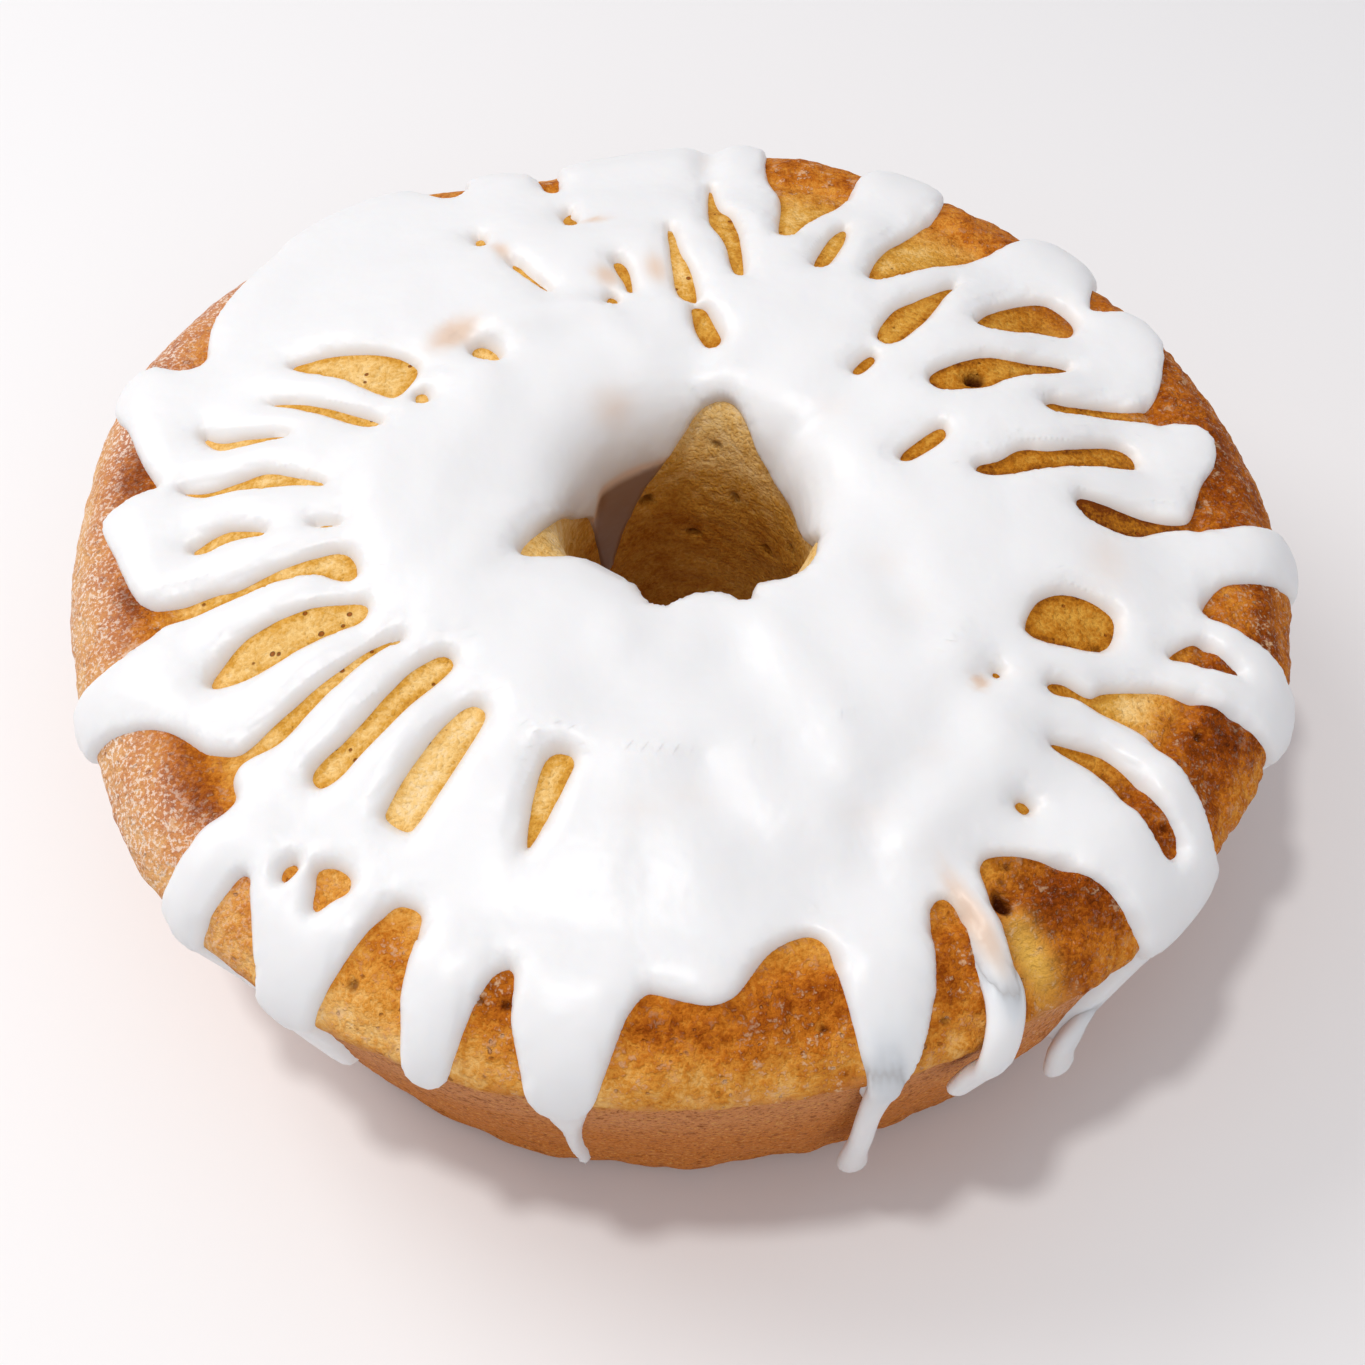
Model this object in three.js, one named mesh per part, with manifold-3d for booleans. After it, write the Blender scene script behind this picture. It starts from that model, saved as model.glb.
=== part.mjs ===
// A tube-pan cake with poured icing: one undivided ring of cake standing crown up, as it was
// baked, and one coat of icing poured over it in strands that run down the side.
//
// Frame: millimetres, +Z up, the cake's foot on z = 0. Angles are in degrees about +Z, from +X
// (the cake's right) towards +Y (its back), so 270 is the front. "Along" is the distance in
// millimetres over the skin, from the lip of the hole outwards; down into the hole it is negative.
import * as THREE from 'three';
import { mergeVertices } from 'three/addons/utils/BufferGeometryUtils.js';
import Module from 'manifold-3d';

const wasm = await Module();
wasm.setup();

// ---- driving dimensions of the cake ----
const RIM_RADIUS = 135; // the widest place, where the batter rose over the pan's edge
const RIM_HEIGHT = 68.5;
const PAN_EDGE_RADIUS = 133; // the crease that the pan's edge left under the rim
const PAN_EDGE_HEIGHT = 61.5;
const FOOT_RADIUS = 110.5; // the flat it stands on
const CROWN_RADIUS = 70; // the highest ring of the crown
const CROWN_HEIGHT = 89.6;
const LIP_RADIUS = 37; // where the crown turns down into the hole
const LIP_HEIGHT = 86.3;
const NECK_RADIUS = 28; // the hole at its narrowest, the top of the pan's tube
const NECK_HEIGHT = 62;
const HOLE_FOOT_RADIUS = 33;

// The ring is not quite round, and its hole and foot lie a little off the rim's centre.
const HOLE_OFFSET = [3.5, 1.5];
const FOOT_OFFSET = [3.8, -3];
const RIM_SWELLS = [
  { size: 1.6, lobes: 2, turn: 117 },
  { size: 1.4, lobes: 4, turn: 126 },
];
const FOOT_SWELL = { size: 2.3, lobes: 3, turn: -31 };
// The radii between which each of these fades in or out.
const HOLE_FADE = { gone: 75, over: 45 };
const SWELL_FADE = { begins: 60, over: 60 };
const FOOT_FADE = { begins: 75, over: 30 };

// ---- driving dimensions of the icing ----
const ICING_THICKNESS = 4;
const RUN_THICKNESS = 4.6; // a run stands a little prouder than the coat
const ICING_GAP = 0.3; // between the icing and the cake's skin
const COAT_REACH = 78; // how far the coat itself runs out over the crown
const HOLE_COVER = { mean: 13, swing: 6, deepest: 30 }; // how far it turns down into the hole
const COAT_EDGE = { loss: 0.6, sharpness: 6 }; // the coat thins towards its two edges
const BLANK_ROOT = 3; // how far blanks of icing reach into the cake before they are cut back to it
const CUTTER = { below: 12, above: 14 }; // how far the cutters of bare places reach

// ---- fineness of the solids ----
const CAKE_COLUMNS = 50;
const CAKE_ROWS = 19;
const COAT_COLUMNS = 46;
const COAT_ROWS = 5;
const COAT_CROWDING = 1.6; // rows crowd towards the lip of the hole
const RUN_SIDES = 8;
const RUN_ROW_LENGTH = 20;
const LONGEST_CAP = 0.4; // of a run's length, so that two round ends always fit on it
const MERGE_DISTANCE = 1e-3; // closer vertices of a blank are one

// The cross-section of the cake, from the foot of the hole up, over the crown and down the side.
const SECTION = [
  [HOLE_FOOT_RADIUS, 0],
  [30, 30],
  [NECK_RADIUS, NECK_HEIGHT],
  [28.5, 74],
  [31, 82],
  [LIP_RADIUS, LIP_HEIGHT],
  [50, 88.6],
  [CROWN_RADIUS, CROWN_HEIGHT],
  [88, 88],
  [107, 82.8],
  [120, 81.5],
  [130.5, 76],
  [RIM_RADIUS, RIM_HEIGHT],
  [PAN_EDGE_RADIUS, PAN_EDGE_HEIGHT],
  [127.5, 40],
  [119.5, 13],
  [116.5, 4],
  [FOOT_RADIUS, 0],
];
const LIP_INDEX = 5;

// Each run of icing beyond the coat, from where it leaves the coat to its tip. A run is
// [angle, along, half its width] at both ends, all in degrees and millimetres.
const RUNS = {
  right_lobe: [[3, 68, 12], [9, 95, 11]],
  right_back_lobe: [[21, 68, 11], [25, 103, 13]],
  back_right_lobe: [[38, 68, 10], [39, 107, 13]],
  back_round_lobe: [[61, 68, 9], [61, 106, 12]],
  back_drip_one: [[82, 68, 8], [84, 116, 8]],
  back_drip_two: [[94, 68, 9], [95, 104, 9]],
  back_drip_three: [[107, 68, 9], [109, 122, 8]],
  back_slab: [[131, 68, 20], [128, 104, 18]],
  left_back_slab: [[148, 68, 16], [150, 86, 14]],
  left_lobe_one: [[162, 68, 9], [161, 108, 10]],
  left_lobe_two: [[184, 68, 10], [182, 93, 11]],
  left_lobe_three: [[201, 68, 8], [203, 121, 9]],
  left_long_drip: [[224, 68, 10], [226, 164, 4]],
  left_wide_drip: [[234, 68, 14], [237, 163, 4.5]],
  front_round_drip: [[249, 68, 10], [250.5, 110, 5.5]],
  front_left_drip: [[261, 68, 13], [259.5, 158, 2]],
  front_fall: [[273, 66, 20], [273, 84, 16]],
  front_long_drip: [[289.5, 68, 13], [288, 164, 4]],
  thin_drip: [[299, 68, 5], [296, 152, 3.5]],
  right_sheet: [[314, 50, 14], [314, 128, 8]],
  right_strand_one: [[323, 45, 6], [320.5, 118, 7]],
  right_strand_two: [[336, 68, 9], [338, 116, 9]],
  right_strand_three: [[349, 50, 10], [357, 124, 8]],
  inner_run: [[124, -4, 12], [133, -54, 3]],
};

// Each bare place in the icing, stated in the same way.
const BARE = {
  left_slot_one: [[178.5, 41, 1.3], [178.5, 76, 1.8]],
  left_slot_three: [[196.5, 36, 2.6], [197, 92, 5]],
  left_window: [[208, 37, 4], [207, 71, 4.5]],
  left_slot_four: [[217.4, 36, 1.2], [217.5, 94, 5]],
  front_left_slot_one: [[227, 31, 2.6], [227.2, 66, 2.2]],
  front_left_slot_two: [[237.8, 35, 3.4], [238, 63, 3.4]],
  front_left_slot_three: [[253.6, 38, 2.6], [253.2, 57, 1.4]],
  drip_gap: [[228.8, 88, 1.4], [231.5, 120, 6.5]],
  wall_bay_one: [[244, 76, 4], [244, 126, 9]],
  wall_bay_two: [[255.2, 81, 1.6], [256, 126, 7]],
  wall_bay_three: [[295.6, 76, 2.2], [292.5, 126, 6]],
  torn_bay: [[304, 72, 8], [305, 122, 13]],
  right_curved_slot: [[320.5, 63, 1.6], [319, 92, 3]],
  right_patch: [[328, 62, 4], [328, 118, 13.5]],
  right_patch_two: [[345.5, 80, 4], [347, 118, 9]],
  right_window: [[335.5, 46, 8], [336, 61, 6]],
  right_slot_one: [[356, 53, 3], [356, 84, 2]],
  right_back_window: [[3, 31, 2.4], [6.6, 69, 3.6]],
  right_slot_two: [[17, 55, 2], [13.5, 84, 2]],
  back_window: [[26, 31, 3.2], [25, 66, 2]],
  shoulder_window: [[35.2, 55, 2.4], [33, 77, 6]],
  back_slot: [[43, 30, 3.6], [44, 57, 1.6]],
  back_bay_one: [[54, 46, 2], [50.5, 116, 8]],
  back_slot_two: [[63.4, 43, 2], [63.6, 61, 1]],
  back_bay_two: [[71.6, 51, 2.6], [73, 116, 11]],
  back_sliver: [[77.5, 34, 1.6], [83, 68, 1.8]],
  left_back_window: [[153, 33, 4.5], [156, 56, 1.4]],
};

const { clamp, lerp, degToRad: radians, radToDeg: degrees } = THREE.MathUtils;
const wave = ({ size, lobes, turn }, angle) => size * Math.cos(radians(lobes * angle + turn));

// Where a point of the round section really lies: the rim swells, and the hole and foot lean.
function settle(angle, radius, height) {
  const hole = clamp((HOLE_FADE.gone - radius) / HOLE_FADE.over, 0, 1);
  const outside = clamp((radius - FOOT_FADE.begins) / FOOT_FADE.over, 0, 1);
  const foot = outside * clamp((RIM_HEIGHT - height) / RIM_HEIGHT, 0, 1);
  const rim = (1 - hole - foot) * clamp((radius - SWELL_FADE.begins) / SWELL_FADE.over, 0, 1);
  const rimSwell = RIM_SWELLS.reduce((sum, swell) => sum + wave(swell, angle), 0);
  const swollen = radius + rim * rimSwell + foot * wave(FOOT_SWELL, angle);
  return new THREE.Vector3(
    swollen * Math.cos(radians(angle)) + hole * HOLE_OFFSET[0] + foot * FOOT_OFFSET[0],
    swollen * Math.sin(radians(angle)) + hole * HOLE_OFFSET[1] + foot * FOOT_OFFSET[1],
    height,
  );
}

// The section as a smooth curve, measured along its length from the lip of the hole.
const STEPS_PER_SPAN = 50;
const section = new THREE.SplineCurve(SECTION.map(([radius, height]) => new THREE.Vector2(radius, height)));
section.arcLengthDivisions = STEPS_PER_SPAN * (SECTION.length - 1);
const skinLength = section.getLength();
const lipAt = section.getLengths()[STEPS_PER_SPAN * LIP_INDEX];
const shareAt = (along) => clamp((lipAt + along) / skinLength, 0, 1);

// A point at a given angle and distance along the skin, lifted off it.
function skin(angle, along, lift) {
  const point = section.getPointAt(shareAt(along));
  const tangent = section.getTangentAt(shareAt(along));
  return settle(angle, point.x - tangent.y * lift, point.y + tangent.x * lift);
}

// Moves every vertex of a blank by a function, and leaves positions only.
function reshape(blank, move) {
  const geometry = blank.clone();
  geometry.deleteAttribute('normal');
  geometry.deleteAttribute('uv');
  const positions = geometry.attributes.position;
  const point = new THREE.Vector3();
  for (let i = 0; i < positions.count; i += 1) {
    const moved = move(point.fromBufferAttribute(positions, i));
    positions.setXYZ(i, moved.x, moved.y, moved.z);
  }
  return mergeVertices(geometry, MERGE_DISTANCE);
}

// A closed geometry as a solid, turned right side out if its faces point inwards.
function toSolid(geometry) {
  const triangles = Uint32Array.from(geometry.index.array);
  const vertices = Float32Array.from(geometry.attributes.position.array);
  let volume = 0;
  for (let i = 0; i < triangles.length; i += 3) {
    const [a, b, c] = [0, 1, 2].map((k) => new THREE.Vector3().fromArray(vertices, 3 * triangles[i + k]));
    volume += a.dot(b.cross(c));
  }
  if (volume < 0) {
    triangles.reverse();
  }
  return new wasm.Manifold(new wasm.Mesh({ numProp: 3, vertProperties: vertices, triVerts: triangles }));
}

function toGeometry(solid) {
  const mesh = solid.getMesh();
  const geometry = new THREE.BufferGeometry();
  geometry.setAttribute('position', new THREE.BufferAttribute(Float32Array.from(mesh.vertProperties), 3));
  geometry.setIndex(new THREE.BufferAttribute(Uint32Array.from(mesh.triVerts), 1));
  geometry.computeVertexNormals();
  return geometry;
}

// A lathe turns about its own Y axis; this reads a turned vertex as angle, radius and height.
function turned(point) {
  const angle = degrees(Math.atan2(point.z, point.x));
  return { angle, radius: Math.hypot(point.x, point.z), height: point.y };
}

// The cake, or the cake grown by a margin all round.
function cakeSolid(margin) {
  const outline = [];
  for (let row = 0; row <= CAKE_ROWS; row += 1) {
    const share = row / CAKE_ROWS;
    const point = section.getPointAt(share);
    const tangent = section.getTangentAt(share);
    outline.push(new THREE.Vector2(point.x - tangent.y * margin, point.y + tangent.x * margin));
  }
  outline[0].y = -margin; // both feet lie flat, whatever the curve's tangent there
  outline[CAKE_ROWS].y = -margin;
  outline.push(outline[0].clone());
  const blank = new THREE.LatheGeometry(outline, CAKE_COLUMNS);
  return toSolid(reshape(blank, (point) => {
    const { angle, radius, height } = turned(point);
    return settle(angle, radius, height);
  }));
}

// The coat on the crown: a ring of strip section. On its blank a radius from 1 to 2 is the share
// of the way from the hole to the outer edge, and a height of 1 is the top face.
function coatSolid() {
  const strip = [];
  for (let row = 0; row <= COAT_ROWS; row += 1) {
    strip.push(new THREE.Vector2(1 + (row / COAT_ROWS) ** COAT_CROWDING, 1));
  }
  for (const underneath of [2, 1 + COAT_ROWS ** -COAT_CROWDING, 1]) {
    strip.push(new THREE.Vector2(underneath, 0));
  }
  strip.push(strip[0].clone());
  const blank = new THREE.LatheGeometry(strip, COAT_COLUMNS);
  return toSolid(reshape(blank, (point) => {
    const { angle, radius, height } = turned(point);
    const inner = -HOLE_COVER.mean - HOLE_COVER.swing * Math.cos(radians(angle - HOLE_COVER.deepest));
    const share = radius - 1;
    const edge = Math.abs(2 * share - 1) ** COAT_EDGE.sharpness;
    const top = ICING_THICKNESS * (1 - COAT_EDGE.loss * edge);
    return skin(angle, lerp(inner, COAT_REACH, share), lerp(-BLANK_ROOT, top, height));
  }));
}

// A finger with round ends laid along the skin, reaching below it and above it by the heights.
// Its blank stands on the Y axis: y is the share of the way along, x is sideways and z is up.
function fingerSolid([[startAngle, startAlong, startWidth], [endAngle, endAlong, endWidth]], below, above) {
  const length = Math.abs(endAlong - startAlong);
  const startCap = Math.min(startWidth / length, LONGEST_CAP);
  const endCap = Math.min(endWidth / length, LONGEST_CAP);
  const middleRows = Math.ceil(((1 - startCap - endCap) * length) / RUN_ROW_LENGTH);
  const capWidth = Math.SQRT1_2; // a round cap in two steps, with its corner at 45 degrees
  const capShare = 1 - Math.SQRT1_2;
  const outline = [new THREE.Vector2(0, 0), new THREE.Vector2(capWidth, capShare * startCap)];
  for (let row = 0; row <= middleRows; row += 1) {
    outline.push(new THREE.Vector2(1, lerp(startCap, 1 - endCap, row / middleRows)));
  }
  outline.push(new THREE.Vector2(capWidth, 1 - capShare * endCap), new THREE.Vector2(0, 1));
  const blank = new THREE.LatheGeometry(outline, RUN_SIDES);
  return toSolid(reshape(blank, (point) => {
    const along = lerp(startAlong, endAlong, point.y);
    const angle = lerp(startAngle, endAngle, point.y);
    const halfWidth = point.x * lerp(startWidth, endWidth, point.y);
    const sideways = degrees(halfWidth / section.getPointAt(shareAt(along)).x);
    return skin(angle + sideways, along, point.z * (point.z > 0 ? above : below));
  }));
}

const cake = cakeSolid(0);
const grownCake = cakeSolid(ICING_GAP);
let icing = coatSolid();
for (const run of Object.values(RUNS)) {
  icing = icing.add(fingerSolid(run, BLANK_ROOT, RUN_THICKNESS));
}
for (const place of Object.values(BARE)) {
  icing = icing.subtract(fingerSolid(place, CUTTER.below, CUTTER.above));
}
icing = icing.subtract(grownCake);

const LOOKS = {
  cake: { color: 0xb9773a, roughness: 0.85, metalness: 0 },
  icing: { color: 0xf3f0ee, roughness: 0.3, metalness: 0 },
};

// The finished part, with its origin under the middle of its box.
const group = new THREE.Group();
for (const [name, solid] of Object.entries({ cake, icing })) {
  const mesh = new THREE.Mesh(toGeometry(solid), new THREE.MeshStandardMaterial(LOOKS[name]));
  mesh.name = name;
  group.add(mesh);
}
const middle = new THREE.Box3().setFromObject(group).getCenter(new THREE.Vector3());
group.position.set(-middle.x, -middle.y, 0);

export default group;
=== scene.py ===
# %% [markdown]
# # A ring cake with poured icing
#
# A ring cake is batter baked in a round pan with a tube up its middle. It stands here crown up, as
# it was baked: the side that the pan held tapers in towards the foot, the rim is where the batter
# rose over the pan's edge, and the crown is golden under a coat of sugar icing that was poured
# round the hole and ran down the side in strands.
#
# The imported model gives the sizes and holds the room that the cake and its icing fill. This script
# makes the two pieces that are seen, the crust and the icing, and the light they are seen in.

import math

import bmesh
import bpy
import numpy as np
from mathutils import Matrix, Vector, noise


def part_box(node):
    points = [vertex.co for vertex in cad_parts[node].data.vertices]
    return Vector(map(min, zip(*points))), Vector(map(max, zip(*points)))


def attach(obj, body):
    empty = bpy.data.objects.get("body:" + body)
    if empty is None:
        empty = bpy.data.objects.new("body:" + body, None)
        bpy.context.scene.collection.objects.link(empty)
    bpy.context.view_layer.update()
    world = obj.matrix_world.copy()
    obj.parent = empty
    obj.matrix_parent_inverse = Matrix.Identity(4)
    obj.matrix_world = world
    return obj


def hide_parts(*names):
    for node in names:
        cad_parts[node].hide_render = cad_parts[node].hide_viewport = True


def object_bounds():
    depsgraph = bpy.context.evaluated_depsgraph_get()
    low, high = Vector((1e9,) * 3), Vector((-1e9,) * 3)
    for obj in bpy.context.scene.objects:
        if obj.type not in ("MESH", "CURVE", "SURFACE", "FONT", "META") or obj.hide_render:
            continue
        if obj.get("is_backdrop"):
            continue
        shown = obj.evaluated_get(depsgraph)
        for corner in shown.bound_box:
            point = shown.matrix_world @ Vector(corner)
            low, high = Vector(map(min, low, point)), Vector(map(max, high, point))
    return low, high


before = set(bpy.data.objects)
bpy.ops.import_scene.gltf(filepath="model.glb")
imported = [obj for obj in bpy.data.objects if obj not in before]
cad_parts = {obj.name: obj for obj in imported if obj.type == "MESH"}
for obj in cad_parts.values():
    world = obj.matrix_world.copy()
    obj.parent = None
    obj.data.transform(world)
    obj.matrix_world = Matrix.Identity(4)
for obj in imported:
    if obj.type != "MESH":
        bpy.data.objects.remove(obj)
CAD_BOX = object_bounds()
CAKE_LOW, CAKE_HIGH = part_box("cake")
MM = 0.001
print("cake across, deep and high, mm:", [round(x / MM, 1) for x in CAKE_HIGH - CAKE_LOW])

# %% [markdown]
# ## The cross-section
#
# A pan's cake is a solid of revolution that the oven has pulled a little out of round. One smooth
# curve through the hole's wall, the crown, the rim and the tapering side says its whole shape. A
# place on the crust is then an angle round the cake and a distance along that curve, counted from
# the lip of the hole outwards, and both the crust and the icing can be written down on one map. A
# mesh modelled by hand could have the same shape, but not this map. All of this is in millimetres.

# %% The section as a smooth curve
SECTION = [
    # radius, height, from the foot of the hole's wall to the foot of the side
    (33, 0), (30, 30), (28, 62), (28.5, 74), (31, 82), (37, 86.3),
    (50, 88.6), (70, 89.6), (88, 88), (107, 82.8), (120, 81.5), (130.5, 76),
    (135, 68.5), (133, 61.5), (127.5, 40), (119.5, 13), (116.5, 4), (110.5, 0),
]
LIP = 5  # the point where the hole's wall ends and the crown begins
STEPS_PER_SPAN = 50


def through(points, steps):
    """A smooth curve through a list of points, with that many steps between each two of them."""
    points = np.array(points, float)
    padded = np.vstack([points[:1], points, points[-1:]])
    share = (np.arange(steps) / steps)[:, None]
    spans = []
    for before, start, end, after in zip(padded, padded[1:], padded[2:], padded[3:]):
        leave, arrive = (end - before) / 2, (after - start) / 2
        bend = 2 * start - 2 * end + leave + arrive
        lean = -3 * start + 3 * end - 2 * leave - arrive
        spans.append(((bend * share + lean) * share + leave) * share + start)
    return np.vstack(spans + [points[-1:]])


CURVE = through(SECTION, STEPS_PER_SPAN)
ALONG = np.concatenate([[0], np.cumsum(np.hypot(*np.diff(CURVE, axis=0).T))])
ALONG -= ALONG[STEPS_PER_SPAN * LIP]
HEADING = np.gradient(CURVE, ALONG, axis=0)
HEADING /= np.linalg.norm(HEADING, axis=1)[:, None]
HOLE_FOOT, SIDE_FOOT = ALONG[0], ALONG[-1]
print("along the crust, mm: hole's foot", round(HOLE_FOOT), "side's foot", round(SIDE_FOOT))

# %% [markdown]
# ## Out of round
#
# The rim swells by a millimetre or two here and there, and the hole and the foot lie a few
# millimetres off the rim's middle, because a pan's tube and the batter over it are never quite
# centred. `settle` moves a point of the round section to where it really lies, and `skin` gives a
# place on the map its point in space, at some height over the crust.

# %% Where a place on the map lies in space
CROWN_RADIUS = 75
HOLE_OFFSET = (3.5, 1.5)
FOOT_OFFSET = (3.8, -3.0)
RIM_HEIGHT = 68.5
RIM_SWELL = [
    # angle, millimetres
    (20, 4.2), (26, 3.6), (36, 2), (46, 1.9), (62, 1.2), (75, 2.9), (98, -1.5), (105, -2.4), (112, -1),
    (118, 0.9), (126, 1.8), (135, 2.3), (146, 2.5), (158, 3.4), (170, 2.3), (176, 1.5), (184, 1),
    (198, 0.7), (207, 0), (217, 1.6), (240, 0), (313, 0), (322, -1.4), (334, -0.1), (356, 3.2),
]
FOOT_SWELL = [
    (235, 0), (263, -0.8), (270, 0), (282, 0.9), (293, 0.9), (298, 1.8), (304, 2.6), (316, 0),
]


def ramp(value, start, end):
    """0 up to start, 1 from end on, and straight between them."""
    return np.clip((value - start) / (end - start), 0, 1)


def smooth(value, start, end):
    """As ramp, but with soft ends."""
    share = ramp(value, start, end)
    return share * share * (3 - 2 * share)


def settle(angle, radius, height):
    """Where a point of the round section really lies."""
    turn = np.radians(angle)
    hole = ramp(radius, CROWN_RADIUS, 30)
    foot = ramp(radius, CROWN_RADIUS, 105) * ramp(height, RIM_HEIGHT, 0)
    rim = (1 - hole - foot) * ramp(radius, 60, 120)
    swell = 1.6 * np.cos(2 * turn + np.radians(117)) + 1.4 * np.cos(4 * turn + np.radians(126))
    radius = radius + rim * swell + foot * 2.3 * np.cos(3 * turn - np.radians(31))
    x = radius * np.cos(turn) + hole * HOLE_OFFSET[0] + foot * FOOT_OFFSET[0]
    y = radius * np.sin(turn) + hole * HOLE_OFFSET[1] + foot * FOOT_OFFSET[1]
    return np.stack([x, y, height + 0 * x], axis=-1)


def section_at(along):
    """Radius, height and heading of the section at a distance along it."""
    return [np.interp(along, ALONG, line) for line in (*CURVE.T, *HEADING.T)]


def swell(angle, along):
    """How far the rim and the foot bulge beyond the round section, in millimetres."""
    rim = np.interp(np.asarray(angle) % 360, *zip(*RIM_SWELL), period=360)
    foot = np.interp(np.asarray(angle) % 360, *zip(*FOOT_SWELL), period=360)
    rim = rim * smooth(along, 80, 94) * smooth(along, 128, 110)
    return rim + foot * smooth(along, 118, 136) * smooth(along, 176, 168)


def skin(angle, along, lift):
    """The point in space of a place on the map, lifted off the crust."""
    radius, height, out, up = section_at(along)
    lift = lift + swell(angle, along)
    return settle(angle, radius - up * lift, height + out * lift)


round_angles, round_along = np.meshgrid(np.arange(360), ALONG[::5])
ring = settle(round_angles.ravel(), *section_at(round_along.ravel())[:2])
RING_TO_PART = np.array([*((CAKE_LOW + CAKE_HIGH) / 2 / MM).xy, 0])
RING_TO_PART[:2] -= (ring.min(axis=0) + ring.max(axis=0))[:2] / 2
print("the rim's middle in the part's frame, mm:", RING_TO_PART.round(2))

# %% [markdown]
# ## The camera
#
# The camera stands in front of the cake and looks down on it at 53 degrees, about half a metre
# from it, which is close enough for the far rim to look clearly smaller than the near one. It
# comes first, so that everything after it can be judged in the right view.

# %% Camera
LENS = 47.47
CAMERA_PLACE = (2.222, -269.797, 378.517)
CAMERA_PITCH = 53.217
CAMERA_ROLL = -0.212

camera = bpy.data.objects.new("camera", bpy.data.cameras.new("camera"))
bpy.context.scene.collection.objects.link(camera)
camera.data.lens = LENS
camera.data.sensor_width = 36
camera.data.clip_start = 0.01
pitch = Matrix.Rotation(math.radians(90 - CAMERA_PITCH), 4, "X")
roll = Matrix.Rotation(math.radians(CAMERA_ROLL), 4, "Z")
place = Matrix.Translation(Vector(CAMERA_PLACE + RING_TO_PART) * MM)
camera.matrix_world = place @ pitch @ roll
bpy.context.scene.camera = camera
print("camera height, m:", round(camera.location.z, 3))

# %% [markdown]
# ## Floor and light
#
# The cake stands in a bright, pale room on a plain pale floor. A large soft lamp behind it to its
# left is the window, and makes the light fall off softly towards the right and the front. A small
# lamp nearly overhead gives the rim its one clear shadow, which a large lamp alone would blur away.
# A weak lamp in front keeps the icing's front bright, and the world fills in the rest.

# %% Floor, lamps and world
FLOOR_SIZE = 6.0
FLOOR_COLOUR = (0.84, 0.825, 0.82)
LAMP_TARGET = (0, 0, 0.05)
LAMP_COLOUR = (1, 0.985, 0.965)
LAMPS = {
    # place and size in metres, power in watts
    "window": ((-0.95, 0.5, 1.1), 0.9, 9.4),
    "overhead": ((-0.26, -0.17, 1.35), 0.12, 5.6),
    "front fill": ((0.35, -1.0, 0.75), 1.2, 1.8),
}
ROOM_COLOUR = (0.93, 0.94, 1)
ROOM_STRENGTH = 0.54


def area_lamp(name, place, size, power):
    lamp = bpy.data.lights.new(name, "AREA")
    lamp.shape = "DISK"
    lamp.size = size
    lamp.energy = power
    lamp.color = LAMP_COLOUR
    thing = bpy.data.objects.new(name, lamp)
    bpy.context.scene.collection.objects.link(thing)
    thing.location = place
    way = Vector(LAMP_TARGET) - Vector(place)
    thing.rotation_euler = way.to_track_quat("-Z", "Y").to_euler()


floor_mesh = bpy.data.meshes.new("floor")
bm = bmesh.new()
bmesh.ops.create_grid(bm, x_segments=1, y_segments=1, size=FLOOR_SIZE / 2)
bm.to_mesh(floor_mesh)
bm.free()
floor = bpy.data.objects.new("floor", floor_mesh)
bpy.context.scene.collection.objects.link(floor)
pale_floor = bpy.data.materials.new("pale floor")
pale_floor.use_nodes = True
shader = pale_floor.node_tree.nodes["Principled BSDF"]
shader.inputs["Base Color"].default_value = (*FLOOR_COLOUR, 1)
shader.inputs["Roughness"].default_value = 0.5
floor_mesh.materials.append(pale_floor)
floor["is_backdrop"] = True

for name, (place, size, power) in LAMPS.items():
    area_lamp(name, place, size, power)

world = bpy.data.worlds.new("room")
bpy.context.scene.world = world
world.use_nodes = True
world.node_tree.nodes["Background"].inputs["Color"].default_value = (*ROOM_COLOUR, 1)
world.node_tree.nodes["Background"].inputs["Strength"].default_value = ROOM_STRENGTH
bpy.context.scene.view_settings.view_transform = "Standard"
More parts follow.
